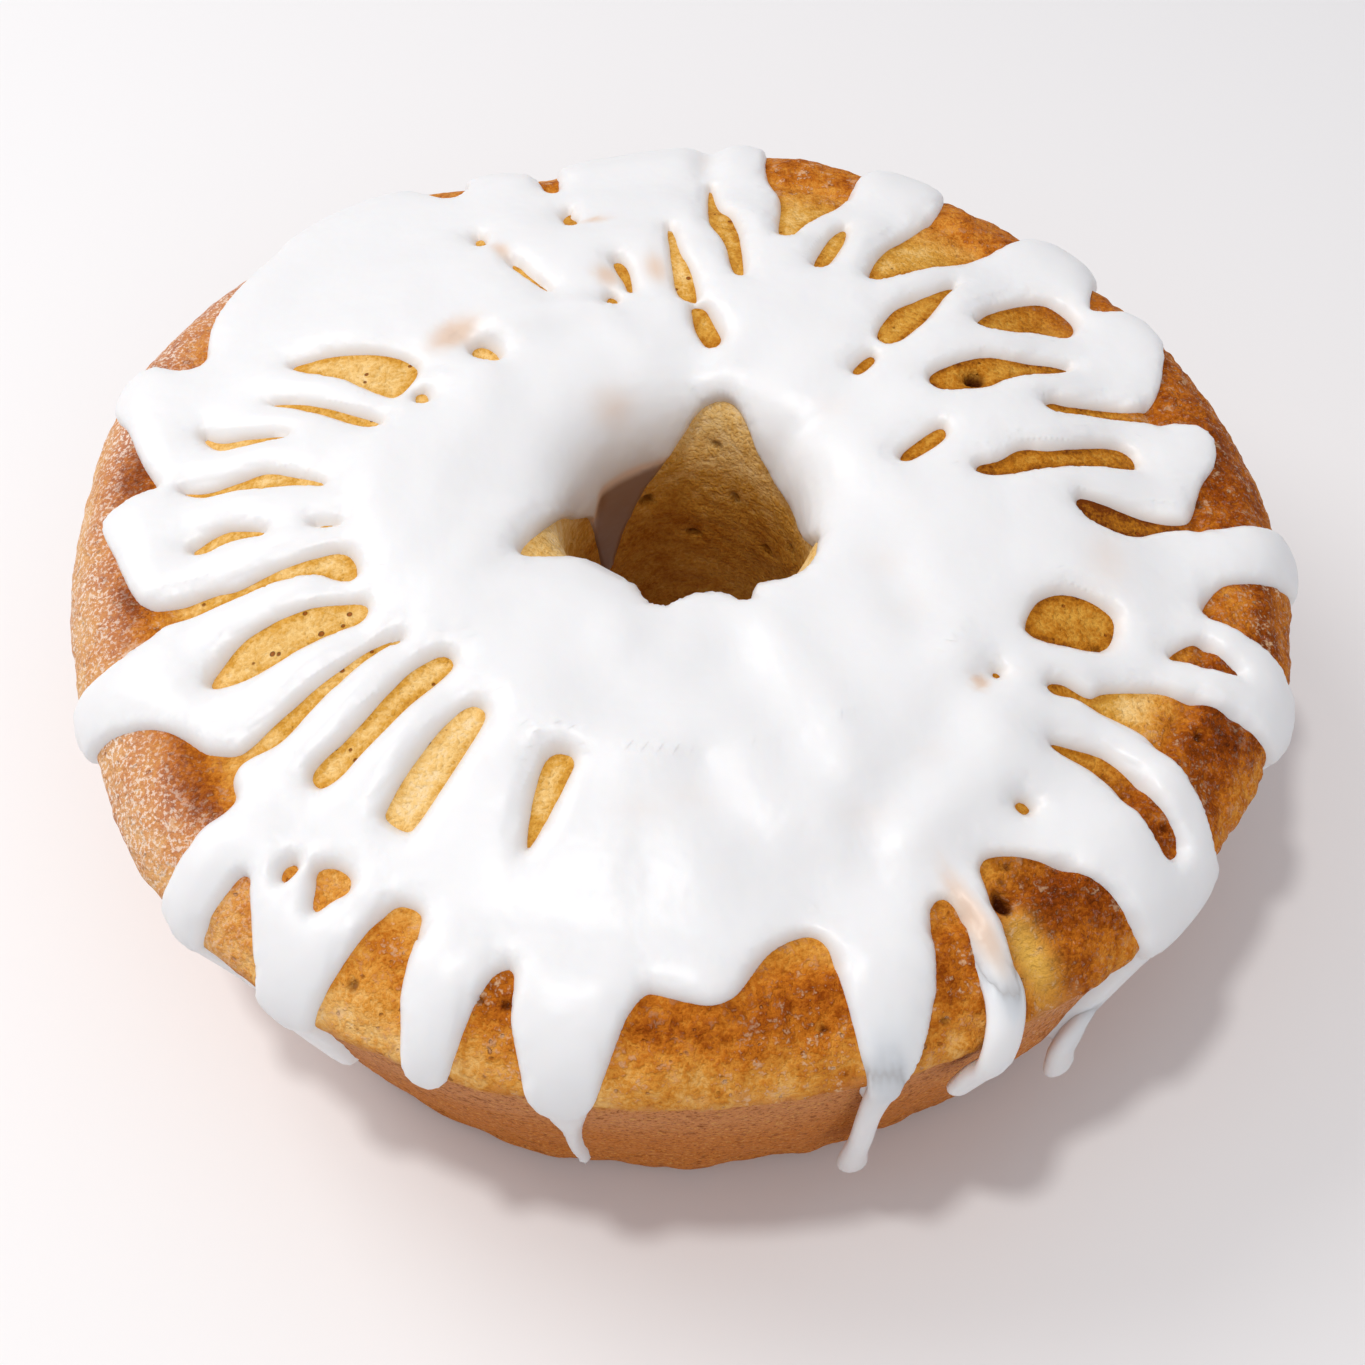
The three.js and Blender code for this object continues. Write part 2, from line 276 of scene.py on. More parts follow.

# %% [markdown]
# ## The map of the icing
#
# Poured icing has an edge like a coastline: bays where bare crust shows, and strands and drips
# between them. It is drawn on the map as one outline round its outer edge, one round the hole, and
# a closed outline for every bare window inside it. A point is an angle in degrees, counted from
# the cake's right side towards its back, and a distance along the crust in millimetres. The outer
# edge is split by the name of each strand and bay, and runs on past 360 degrees, as it starts
# there. Drawing it point by point keeps the run of each strand, which no noise pattern would give.

# %% The outer edge of the icing
OUTER_EDGE = {
    "slot beside the right lobe": [
        (356.5, 84), (355.9, 74), (355, 69.5), (353.8, 66), (353.4, 61.5), (353.8, 57.5), (354.6, 54.5),
        (356.6, 51.6), (358.4, 52.6), (358.2, 57), (357, 71), (356.9, 76),
    ],
    "right lobe": [
        (357.4, 79), (360.2, 82), (362.8, 84), (365.6, 88.8), (368.2, 91.2), (370.6, 89.4), (372, 85.4),
    ],
    "slot behind the right lobe": [
        (374.6, 65), (375.3, 54.5), (376.8, 53), (378, 56), (377, 60), (376, 71), (375, 76.5),
    ],
    "right back lobe": [
        (375.4, 81.4), (376.8, 84.8), (383.4, 93.6), (386, 95), (388.2, 94.4), (390.2, 91.4),
        (391.2, 87.4),
    ],
    "shoulder lobe": [
        (392, 85.5), (394, 89), (396.2, 95), (397.4, 103), (399, 108), (402, 108), (404.4, 105),
        (405.6, 99), (406.8, 82),
    ],
    "first back bay": [
        (408, 71), (411.2, 54), (413.5, 46), (415, 45.4), (416.2, 50), (417, 57), (417.2, 65),
        (415.7, 82), (416.6, 90),
    ],
    "round back lobe": [
        (418, 99), (419.5, 103), (422, 105), (425, 103), (426.6, 98), (427.4, 90), (427, 81),
    ],
    "second back bay": [
        (427.5, 73.5), (430, 58.5), (430.8, 52), (432.4, 50.6), (433.6, 57), (435, 72.5), (437, 77.8),
        (438.4, 84), (438.8, 90),
    ],
    "first back drip": [(439, 98), (439.8, 108), (441.6, 117), (445, 119), (448, 114), (450.6, 106)],
    "second back drip": [
        (451.6, 101), (452.8, 106), (455, 112), (458, 115), (461.6, 111), (463.4, 102), (464, 92),
    ],
    "gap at the back": [(464.4, 80.5), (465.8, 75.6), (466.6, 79)],
    "third back drip": [(467.4, 96), (468.4, 110), (470.4, 122), (472.6, 121), (474, 108), (474.6, 96)],
    "bare rim at the back": [(475.4, 86), (477.6, 83.4), (479.6, 86), (480.6, 94)],
    "back slab": [
        (481.6, 103), (484.6, 109), (490, 105), (498.5, 93.5), (502, 91.5), (509, 89), (512, 87),
        (515, 84.2), (517.2, 82.2),
    ],
    "first left lobe": [
        (519.4, 84.5), (519.5, 89), (519.6, 93), (520.6, 97.6), (522.6, 99.8), (525, 98.4),
        (526.4, 96.8), (527.8, 92.6), (529.8, 89.6), (534, 84.4), (535.4, 82.2),
    ],
    "second left lobe": [
        (536.8, 80.2), (537.3, 82.6), (539.4, 89.2), (540.6, 90.8), (541.9, 91.6), (543.3, 90.8),
        (546.2, 88), (552.8, 83.9), (554, 81.6), (554.7, 79),
    ],
    "long slot on the left": [
        (555.1, 75.5), (555, 66.8), (555.8, 62), (556, 59.8), (555.2, 43), (555.4, 36), (558.5, 34),
        (562.6, 35), (561.4, 38.6), (558.7, 42), (557.8, 48), (557.2, 57), (557, 76), (557.5, 79.8),
    ],
    "third left lobe": [
        (558.4, 81.8), (559, 84), (559.8, 94), (559.8, 100), (560.3, 112), (562.8, 118), (565, 113),
        (566.2, 99), (567.5, 92), (569.3, 86.2), (572.2, 81.8), (574.8, 79.8), (575.8, 78.5),
    ],
    "thin slot on the left": [
        (577.4, 75), (577.8, 72), (577, 60), (576.4, 39), (577.6, 33.6), (578.6, 33.6), (577.5, 38),
        (578.9, 57), (579.7, 63), (579.7, 67), (579, 71), (578.8, 74.5), (579.3, 77),
    ],
    "first left drip": [
        (580.2, 78.5), (581.9, 79.4), (582.5, 83), (582.2, 88), (582.6, 93), (584, 135), (585.5, 146),
        (587, 143), (587.6, 130), (588, 115), (588.2, 90),
    ],
    "second left drip": [
        (588.6, 88), (589.4, 87.7), (590, 89.6), (591.1, 91.6), (593.3, 97.6), (594.4, 101.4),
        (595.2, 115), (595.4, 128), (596, 139), (597.5, 142), (599, 138), (599.8, 125), (600.4, 103),
        (601.5, 86),
    ],
    "round drip": [
        (602.3, 78.5), (602.9, 76.5), (604, 75.8), (605.2, 76), (605.9, 77.3), (606.8, 91),
        (607.9, 97.5), (608.6, 105.5), (609.2, 109), (610.4, 110.6), (611.8, 108), (612.5, 103),
        (613.1, 90),
    ],
    "tailed drip": [
        (613.9, 84), (614.6, 82), (615.4, 81), (616.1, 82.6), (616.5, 90), (617.6, 96), (618.6, 104),
        (619.3, 114), (619.8, 126), (618.7, 155), (618.9, 167), (620, 168), (620.2, 155), (620.7, 140),
        (622.8, 114), (625.8, 89),
    ],
    "front bay": [
        (626.8, 85.2), (627.8, 83), (628.5, 83), (632.8, 85.5), (633.8, 85.5), (635, 84.8), (636, 83.5),
        (638, 78.5), (639.8, 75.8), (642.5, 74.3), (643.9, 75), (644.7, 77.2), (644.9, 80),
    ],
    "long front drip": [
        (645, 97.2), (645.3, 101), (645.4, 107), (645.2, 114), (645.6, 118), (646.2, 117),
        (648.2, 106.5), (650.8, 98.5), (651.5, 95), (653, 89.5), (655, 77.4),
    ],
    "narrow bay": [(655.8, 75.8), (656.8, 75.2), (657.6, 76.4), (657.7, 82), (657.2, 85)],
    "thin drip": [
        (656.2, 98), (656.4, 100.5), (657.2, 102), (658.2, 101.4), (659, 99.5), (659.8, 96.8),
        (661, 81), (661.8, 74.2),
    ],
    "torn bay": [
        (662.5, 72.5), (663.5, 72), (665, 73.2), (667, 76.2), (670, 85.2), (670.6, 88), (670.9, 91),
        (671.2, 108),
    ],
    "curtain": [
        (671, 116), (669, 123), (667, 129), (665.8, 134), (665.8, 138.6), (667.3, 141), (669, 138.6),
        (671, 136), (677, 131.6), (679, 127), (680.5, 121), (681.6, 114), (682.3, 106),
    ],
    "right patch": [
        (682.5, 99.8), (684.8, 89.8), (685.2, 86.5), (686.8, 76), (686.7, 68.8), (686.2, 65.8),
        (686, 60.5), (684.5, 57.4), (684.2, 55.5), (685.1, 54.4), (686.5, 57), (686.8, 61.4),
        (687.2, 63.4), (688.5, 64.2), (689.8, 66.5), (692.6, 74), (692.8, 79), (693.5, 83), (694, 88.8),
        (694.2, 101),
    ],
    "second right strand": [(694.6, 108), (696, 116), (698, 119), (700.4, 114), (701.6, 106)],
    "small right patch": [
        (701.8, 101.2), (702.2, 97.8), (703, 94), (703.5, 86.8), (704.5, 80), (705.8, 79.8),
        (708.5, 83), (709.5, 86), (711.8, 98.5), (712.4, 102.5),
    ],
    "third right strand": [(713, 110), (714.5, 120), (717, 122), (719, 115), (719.2, 104), (718.8, 99)],
}
print("strands and bays round the outer edge:", len(OUTER_EDGE))

# %% The edge round the hole
HOLE_EDGE = [
    (0, -21), (10, -23.5), (20, -22.6), (37, -21.4), (45, -19.4), (53, -15.4), (66, -7.4), (72, -5.6),
    (78, -6.2), (86, -9.4), (92, -16), (118, -37), (124, -46), (129, -56), (134, -58), (138, -50),
    (144, -32), (151, -27), (160, -24), (170, -18), (190, -8.6), (200, -3), (206, 2), (210, 3.6),
    (213, -1), (218, -7), (226, -9.6), (238, -10), (250, -8), (256, -3), (262, -1.6), (267, -6),
    (276, -9), (284, -8.4), (288.4, -5), (291, -0.6), (293.6, -4), (299, -8), (305, -4), (313, -2.4),
    (322, -2.6), (330, -5), (336, -5.4), (345, -14), (352, -18),
]
print("the icing turns down into the hole by up to, mm:", -min(along for _, along in HOLE_EDGE))

# %% Windows of bare crust, as rows of distance along, left angle and right angle
WINDOWS = {
    "big left window": [
        (35.6, 208, 209.6), (38, 206.6, 211.2), (43, 205, 210.6), (48, 204.2, 210.2),
        (60, 203.8, 209.9), (65, 204.5, 209.5), (70, 206.1, 208.7), (72.4, 207.2, 208),
    ],
    "left slit": [
        (52.4, 187.6, 188.3), (59, 186, 187.9), (62, 185.5, 187.8), (66, 185.9, 188.2),
        (69, 186.8, 188), (70.4, 187.1, 187.6),
    ],
    "end of the left slit": [(36, 189.2, 189.9), (41.6, 188.3, 189)],
    "second left slit": [
        (39.2, 179.5, 180.5), (45, 178, 179.6), (52, 176.5, 179.5), (55, 176.5, 179.2),
        (61, 177.3, 178.8), (68, 178, 179), (74, 177.4, 177.8),
    ],
    "third left slit": [
        (51, 169, 169.5), (63, 169.2, 171), (66.6, 169.4, 171), (70, 169.1, 170.2), (73, 168.4, 169),
    ],
    "first front left slot": [
        (29.5, 225, 228.6), (36, 224.2, 229.2), (43, 224.9, 228.6), (56, 225.8, 228.8),
        (61, 225.4, 228.8), (64.6, 225.5, 228.3), (66.4, 226.4, 227.6),
    ],
    "second front left slot": [
        (34.5, 235.8, 239.6), (42, 235, 240.4), (54, 235.2, 240.4), (61, 235.8, 240),
        (63.5, 236.2, 239.6),
    ],
    "third front left slot": [(37.5, 251.5, 256), (44, 251.3, 255.4), (58, 253, 253.6)],
    "slit by the hook": [(80.2, 231.5, 232.2), (82.4, 231.2, 232.5), (84.4, 231.8, 232.4)],
    "window by the hook": [
        (75.9, 235.4, 237), (77.5, 234.1, 237.7), (79.3, 233.9, 237.8), (81.4, 235, 237.3),
        (85.3, 236, 236.7),
    ],
    "left back window": [
        (30.8, 149, 157.4), (34.8, 147.6, 157.2), (40, 147.8, 156.5), (47, 150, 155.6),
        (53, 152.1, 156.4), (56.4, 153.9, 156.3), (59.4, 155, 155.8),
    ],
    "left back slit": [
        (31.6, 163.4, 165.6), (42, 162.6, 164.4), (52, 162.2, 163.4), (58.6, 162.7, 163.1),
    ],
    "spot by the hole": [(19.6, 136.4, 139), (23, 135.2, 140), (26.6, 136, 139)],
    "yellow spot": [(24.8, 155.4, 157), (26.4, 153.8, 157.6), (28, 154.4, 156)],
    "right back window": [
        (29.6, 1.6, 4.2), (36, 1.4, 5), (42, 2.8, 8), (48.5, 3.8, 7.2), (59, 4.7, 8.6), (65, 4.8, 9),
        (68.4, 4.9, 8.7), (70.4, 5.6, 7.4),
    ],
    "slit by the hole": [(12.4, 6.8, 9.4), (15, 7, 11.6), (22.6, 11, 15.4), (25.4, 13, 15.4)],
    "slanted spot": [(16, 39.2, 41.4), (19.6, 39.2, 42), (23.6, 39.8, 41.8)],
    "window with the pore": [
        (29.6, 26, 28.8), (32, 24.4, 30), (38, 23, 30), (43, 22.8, 29.8), (48, 23.6, 29.2),
        (53, 23.8, 27.5), (58, 23.5, 26.4), (67.6, 23.8, 24.4),
    ],
    "shoulder window": [
        (53.6, 35.2, 36.6), (58, 33.2, 37.6), (62, 32.6, 38), (68, 31.2, 37.8), (74, 29.2, 37.2),
        (78, 30.2, 35.8), (79.6, 31.6, 33.6),
    ],
    "back window": [
        (28.6, 41.4, 44), (32, 40.3, 45.6), (37, 40.5, 46.5), (41.6, 40.9, 46.8), (51, 43, 45.4),
        (55, 44, 45.2), (59.6, 44.5, 44.9),
    ],
    "back slit": [(42.4, 63.2, 64.5), (45.8, 62.3, 65), (56, 62.8, 65.4), (63, 64, 64.8)],
    "long back slit": [
        (32.4, 76.2, 77.4), (36, 76.2, 78.8), (45.5, 78.2, 80.8), (50, 79, 83), (54, 80, 84.1),
        (59, 81.2, 84.5), (62, 83, 84.7), (67, 83.9, 84.9), (73.6, 84.6, 85.1),
    ],
    "second long back slit": [
        (21.6, 85.4, 87.6), (25, 85.4, 90.1), (34.4, 86.8, 90.2), (40, 88.6, 90.3), (50, 89.9, 90.9),
    ],
    "patch behind the hole": [
        (7.2, 80.4, 82.4), (10.4, 78, 84.8), (13.6, 80, 86.2), (17.4, 82, 86.6), (20.4, 83.4, 87),
    ],
    "small back slit": [(26, 99.3, 100.4), (30, 98.9, 100.4), (34, 98.6, 101.1), (38.2, 99.4, 101.2)],
    "orange spot": [(22.4, 104.4, 105.4), (24, 103, 106), (25.6, 104.2, 105)],
    "pin window": [(56.4, 104.9, 106), (60, 104.2, 106.2), (63, 105, 106.2), (65.4, 104.5, 105)],
    "fine back slit": [
        (31.8, 115.2, 115.8), (40, 116.7, 117.6), (43.6, 116.9, 118.1), (46.4, 117.6, 118.1),
    ],
    "short back slit": [(57, 119.4, 120.2), (60, 118.4, 119.9), (63.4, 118.2, 119.4)],
    "curved slot": [
        (62.4, 318.3, 319), (69.5, 319.4, 321.4), (73, 319.5, 321.8), (82, 318.8, 321),
        (90.6, 317.5, 320.2), (94.4, 317.6, 319.2),
    ],
    "right window": [
        (44.8, 331, 336), (47, 330.1, 338.4), (50, 330.6, 339.9), (54, 331.7, 340.5),
        (58, 332.8, 340.2), (61, 334, 339.6), (62.2, 335.4, 338),
    ],
    "right slit": [
        (74.2, 337, 337.6), (76.4, 337.3, 339.3), (79, 337.7, 340.5), (81.5, 337.9, 340.3),
        (85, 338, 339.7), (88.6, 338.5, 339),
    ],
    "right pin": [(66.4, 309.6, 310.8), (69.2, 309.8, 311)],
    "tiny right spot": [(45, 321, 321.9), (46.6, 321.1, 322)],
}
print("windows of bare crust:", len(WINDOWS))

# %% [markdown]
# ## How deep a place lies in the icing
#
# Everything about the icing follows from one number, the distance from a place to the nearest edge
# of the icing: positive under the icing, negative on bare crust. The drawn corners are first cut
# off twice, which turns each outline into a soft curve, as a liquid's edge is. The distance is then
# measured in millimetres on the crust, and a place is inside an outline if a line from it straight
# outwards along the crust crosses it an odd number of times.

# %% Distance to the edge of the icing
REACH = 9.0
CORNER_CUTS = 2
WINDOW_SOFTNESS = 0.8


def turned(angle):
    """The same angle between -180 and 180 degrees."""
    return (angle + 180) % 360 - 180


def soft_outline(points):
    """A closed outline of angles and distances with its corners cut off."""
    points = np.array(points, float)
    for _ in range(CORNER_CUTS):
        step = np.roll(points, -1, axis=0) - points
        step[:, 0] = turned(step[:, 0])
        cut = np.empty((2 * len(points), 2))
        cut[0::2] = points + step / 4
        cut[1::2] = points + step * 3 / 4
        points = cut
    return points


def depth_inside(outline, angle, along):
    """How far each place is inside an outline, in millimetres; negative outside, at most REACH."""
    depth = np.full(len(angle), -REACH)
    degree = np.radians(np.maximum(section_at(along)[0], 20))
    step = np.roll(outline, -1, axis=0) - outline
    step[:, 0] = turned(step[:, 0])
    for centre in range(0, 360, 10):
        near = np.abs(turned(angle - centre)) <= 5
        close = np.abs(turned(outline[:, 0] - centre)) < 34
        if not near.any() or not close.any():
            continue
        start_turn = turned(outline[close, 0] - angle[near, None])
        start_y = outline[close, 1] - along[near, None]
        turn, rise = step[close, 0], step[close, 1]
        start_x, across = start_turn * degree[near, None], turn * degree[near, None]
        share = -(start_x * across + start_y * rise) / (across**2 + rise**2 + 1e-12)
        share = np.clip(share, 0, 1)
        gap = np.hypot(start_x + share * across, start_y + share * rise).min(axis=1)
        crosses = (start_turn > 0) != (start_turn + turn > 0)
        height = start_y - start_turn / np.where(turn == 0, 1, turn) * rise
        inside = (crosses & (height > 0)).sum(axis=1) % 2 == 1
        depth[near] = np.where(inside, 1, -1) * np.minimum(gap, REACH)
    return depth


def soft_least(first, second, softness):
    """The smaller of two, with a soft corner where they cross."""
    share = np.clip(0.5 + 0.5 * (second - first) / softness, 0, 1)
    return second + (first - second) * share - softness * share * (1 - share)


OUTER = soft_outline([point for points in OUTER_EDGE.values() for point in points])
HOLE = soft_outline(HOLE_EDGE)
BARE = []
for rows in WINDOWS.values():
    left = [(left_angle, along) for along, left_angle, _ in rows]
    right = [(right_angle, along) for along, _, right_angle in reversed(rows)]
    BARE.append(soft_outline(left + right))


def icing_depth(angle, along):
    """Distance to the nearest edge of the icing, positive under it."""
    angle, along = angle % 360, np.asarray(along, float)
    depth = np.minimum(depth_inside(OUTER, angle, along), -depth_inside(HOLE, angle, along))
    for outline in BARE:
        middle = (outline[:, 0].min() + outline[:, 0].max()) / 2
        near = np.abs(turned(angle - middle)) < 30
        near &= (along > outline[:, 1].min() - REACH) & (along < outline[:, 1].max() + REACH)
        if near.any():
            window = -depth_inside(outline, angle[near], along[near])
            depth[near] = soft_least(depth[near], window, WINDOW_SOFTNESS)
    return depth


probe = icing_depth(np.array([270.0, 270.0, 208.0, 335.0]), np.array([40.0, 95.0, 50.0, 54.0]))
print("depth in the pool, the front bay and two windows, mm:", probe.round(1))

# %% [markdown]
# ## The relief of the crust
#
# A crust is never smooth. Where the crown split from the shoulder as it rose there is a crease; the
# pan's edge left another; the shoulder and rim are wrinkled, and the side that the pan held is
# smoother and ends in a slightly wavy foot. Bubbles left pores, and in front on the right the crust
# is torn open over a dark cavity. Each of these is a small lift or dip of the skin, and they are
# simply added up. They are moved in the mesh, and not only painted as bump, so that the rim's
# outline is uneven too.

# %% Relief of the crust
def wrinkle(points, size, octaves, seed):
    """Noise of about -1 to 1 with features of that size in millimetres."""
    shift = Vector((seed * 17.3, seed * 9.1, seed * 4.7))
    return np.array(
        [noise.fractal(Vector(point) / size + shift, 1.0, 2.0, octaves) for point in points]
    )


def groove(along, centre, width):
    """1 in the middle of a groove, and 0 away from it."""
    return np.exp(-(((along - centre) / width) ** 2))


def spot(angle, along, at_angle, at_along, across, lengthways):
    """1 in the middle of an oval spot, and 0 away from it; its half sizes are in millimetres."""
    sideways = turned(angle - at_angle) * np.radians(section_at(at_along)[0])
    return np.exp(-((sideways / across) ** 2) - ((along - at_along) / lengthways) ** 2)


def facing(angle, toward):
    """1 on the side of the cake at an angle, and -1 on the side across from it."""
    return np.cos(np.radians(angle - toward))


PORES = [
    # angle, along, half width, half length, depth; the first is the hollow over the tear
    (302, 80.8, 1.8, 3.4, 3.3), (25.8, 41.4, 2.7, 3.3, 5), (330, 85, 1.5, 1.3, 2.2),
    (253.6, 88, 0.9, 0.9, 1.6), (255.9, 88, 1.4, 1.2, 1.8), (251.6, 93.6, 1, 0.8, 1),
    (258.2, 92, 0.8, 0.7, 1), (246.6, 80.5, 1.9, 0.7, 1.2), (242.8, 93.5, 1.3, 1.6, 1.4),
    (304.6, 75.5, 1, 1, 1.4), (303.2, 77.5, 0.9, 0.9, 1.2), (319.6, 89, 1.2, 1.2, 1.4),
    (360.5, 83, 1.6, 1.2, 1.4), (334, 60, 1.2, 0.9, 1.2), (282.6, 92.4, 1.1, 0.9, 1.4),
    (292.6, 97, 1.3, 1, 1.2), (87, -51, 2.2, 1.6, 2), (48, -48, 1.8, 1.4, 1.8), (110, -36, 2.4, 1.6, 2),
    (76, -18, 1.5, 1.2, 1.6), (66, -34, 1.4, 2.2, 1.4), (30, -40, 1.8, 1.3, 1.8),
]
TEAR = (301, 93, 3.4, 9)
TEAR_DEPTH = 2.0
SPLIT, RIM_START, PAN_EDGE = 80, 84, 108  # distances along the section


def relief(angle, along):
    """Lift of the crust over the smooth skin, in millimetres."""
    points = skin(angle, along, 0)
    coarse = wrinkle(points, 26, 2, 1)
    middling = wrinkle(points, 8, 2, 2)
    fine = wrinkle(points, 3.4, 2, 3)
    crown = smooth(along, 2, 12) * smooth(along, RIM_START, 74)
    shoulder = smooth(along, 76, 88) * smooth(along, PAN_EDGE, 104)
    side = smooth(along, 104, 109) * smooth(along, SIDE_FOOT - 1, SIDE_FOOT - 12)
    hole = smooth(along, 6, -6) * smooth(along, HOLE_FOOT, HOLE_FOOT + 20)
    grainy = smooth(along, 78, 88) * smooth(along, SIDE_FOOT, SIDE_FOOT - 20)
    rough = 0.55 + 0.45 * smooth(facing(angle, 350), -0.2, 0.8)
    lift = 0.7 * coarse * (crown + shoulder)
    lift += middling * (0.25 * crown + 0.8 * rough * shoulder + 0.25 * side + 0.5 * hole)
    lift += fine * (0.05 * crown + 0.34 * rough * shoulder + 0.16 * side + 0.1 * hole)
    lift += 0.24 * wrinkle(points, 1.9, 1, 5) * rough * grainy
    split = SPLIT + 2.4 * coarse
    lift -= (0.7 + 0.5 * middling) * groove(along, split, 2.2) * (0.5 + rough)
    pan_edge = PAN_EDGE + 1.2 * coarse + wrinkle(points, 6, 2, 9)
    lift -= (0.8 + 0.4 * middling) * groove(along, pan_edge, 1.7)
    lift += 0.5 * groove(along, pan_edge - 4, 2.8)
    lift += 1.8 * wrinkle(points, 13, 2, 4) * smooth(along, SIDE_FOOT - 30, SIDE_FOOT - 8)
    for *where, depth in PORES:
        lift -= depth * spot(angle, along, *where) ** 2
    return lift - TEAR_DEPTH * spot(angle, along, *TEAR)


sample = relief(np.linspace(0, 359, 360), np.full(360, 95.0))
print("relief round the shoulder, mm:", sample.min().round(2), "to", sample.max().round(2))

# %% [markdown]
# ## A ring that is fine only where it needs to be
#
# The crust starts as the section's outline, spun once round the Z axis. An even grid fine enough
# for the rim's wrinkles would spend most of its faces on the underside and under the icing. So the
# ring starts coarse, and every edge that is longer than the length wanted at its place is cut in
# two, again and again. Faces that a round leaves with more than four corners are cut to triangles,
# because such a face would fold over itself once the relief bends it. A vertex remembers how far
# along the section it lies in a layer of its own, which the cuts fill in for the new ones as well.

# %% Spin and refine
RING_STEPS = 150


def spun_ring(outline_along, outline_points):
    """A ring of quads from points of radius and height, with its distances along in a layer."""
    bm = bmesh.new()
    layer = bm.verts.layers.float.new("along")
    line = []
    for along, (radius, height) in zip(outline_along, outline_points):
        vertex = bm.verts.new((radius, 0, height))
        vertex[layer] = along
        line.append(vertex)
    edges = [bm.edges.new(pair) for pair in zip(line, line[1:])]
    bmesh.ops.spin(
        bm, geom=line + edges, cent=(0, 0, 0), axis=(0, 0, 1), dvec=(0, 0, 0),
        angle=2 * math.pi, steps=RING_STEPS, use_merge=True, use_duplicate=False,
    )
    return bm


def on_map(bm):
    """Angle in degrees and distance along of every vertex of a ring."""
    layer = bm.verts.layers.float["along"]
    places = np.array([(*vertex.co.xy, vertex[layer]) for vertex in bm.verts])
    return np.degrees(np.arctan2(places[:, 1], places[:, 0])) % 360, places[:, 2]


def refine(bm, wanted, rounds, only=None):
    """Cuts every edge that is longer than the length wanted where it is."""
    layer = bm.verts.layers.float["along"]
    for _ in range(rounds):
        edges = [edge for edge in bm.edges if only is None or only(edge)]
        pairs = [edge.verts for edge in edges]
        ends = np.array([(*a.co, a[layer], *b.co, b[layer]) for a, b in pairs])
        middle = (ends[:, :4] + ends[:, 4:]) / 2
        length = np.linalg.norm(ends[:, :3] - ends[:, 4:7], axis=1)
        angle = np.degrees(np.arctan2(middle[:, 1], middle[:, 0])) % 360
        cut = length > wanted(angle, middle[:, 3])
        long_edges = [edge for edge, is_cut in zip(edges, cut) if is_cut]
        bmesh.ops.subdivide_edges(bm, edges=long_edges, cuts=1, use_grid_fill=True)
        bmesh.ops.triangulate(bm, faces=[face for face in bm.faces if len(face.verts) > 4])


def spaced(start, end, step):
    """Evenly spaced distances from start to end, about step apart."""
    return np.linspace(start, end, max(2, round(abs(end - start) / step) + 1))


def finish_piece(bm, name, material):
    """Turns a ring in millimetres into a smooth-shaded object in the part's frame."""
    bmesh.ops.transform(bm, matrix=Matrix.Translation(RING_TO_PART), verts=bm.verts)
    bmesh.ops.scale(bm, vec=(MM, MM, MM), verts=bm.verts)
    mesh = bpy.data.meshes.new(name)
    for face in bm.faces:
        face.smooth = True
    bm.to_mesh(mesh)
    bm.free()
    if mesh.validate():
        print(name, "needed repair")
    mesh.materials.append(material)
    piece = bpy.data.objects.new(name, mesh)
    bpy.context.scene.collection.objects.link(piece)
    mesh.calc_loop_triangles()
    print(name, "has", len(mesh.loop_triangles), "triangles")
    return piece


print("the coarse ring has a section every, degrees:", 360 / RING_STEPS)

# %% [markdown]
# ## The crust's material
#
# The colour of a crust says how hot each place got. The golden crown and the orange to deep brown
# rim each have a ladder of colours from pale to dark, and how baked a place is picks the rung. That
# number also carries painted shade, which picks a darker rung where the crust lies in shade. The
# side that the pan shaded is a flatter brown, the left of the rim is pink with undissolved sugar and
# a painted haze of light, and inside the tear shows the yellow crumb. The pores are painted almost
# black, as painted shade in their hollows. The mesh carries how much of each there is as
# attributes, one number for each vertex, because they follow the cake's shape. The nodes mix the
# colours by them, and break them up with noise on Object coordinates, because specks of sugar and
# flour, pits and pinholes are finer than the mesh. On the rim, grains of sugar glint.

# %% Node helpers
def nodes_of(material):
    """The material's node tree with a fresh Principled shader, and a function that adds nodes."""
    material.use_nodes = True
    tree = material.node_tree

    def add(kind, links=None, **settings):
        node = tree.nodes.new(kind)
        for key, value in settings.items():
            setattr(node, key, value)
        for socket, source in (links or {}).items():
            if isinstance(source, bpy.types.NodeSocket):
                tree.links.new(source, node.inputs[socket])
            else:
                node.inputs[socket].default_value = source
        return node

    return tree, tree.nodes["Principled BSDF"], add


def mixed(add, factor, first, second):
    """Colour mix of two colours or sockets."""
    node = add("ShaderNodeMix", data_type="RGBA", clamp_factor=True)
    for place, source in ((0, factor), (6, first), (7, second)):
        if isinstance(source, bpy.types.NodeSocket):
            node.id_data.links.new(source, node.inputs[place])
        else:
            node.inputs[place].default_value = (*source, 1)
    return node.outputs[2]


def ranged(add, value, low, high, new_low=0.0, new_high=1.0):
    """A value moved from one range to another, and held inside it."""
    links = {"Value": value, "From Min": low, "From Max": high, "To Min": new_low, "To Max": new_high}
    return add("ShaderNodeMapRange", links, interpolation_type="SMOOTHSTEP").outputs["Result"]


def grain(add, where, size, detail=3.0, roughness=0.55):
    """Noise with features of a size in millimetres."""
    links = {"Vector": where, "Scale": 1 / (size * MM), "Detail": detail, "Roughness": roughness}
    return add("ShaderNodeTexNoise", links).outputs["Fac"]


def plus(add, first, second):
    return add("ShaderNodeMath", {0: first, 1: second}, operation="ADD").outputs[0]


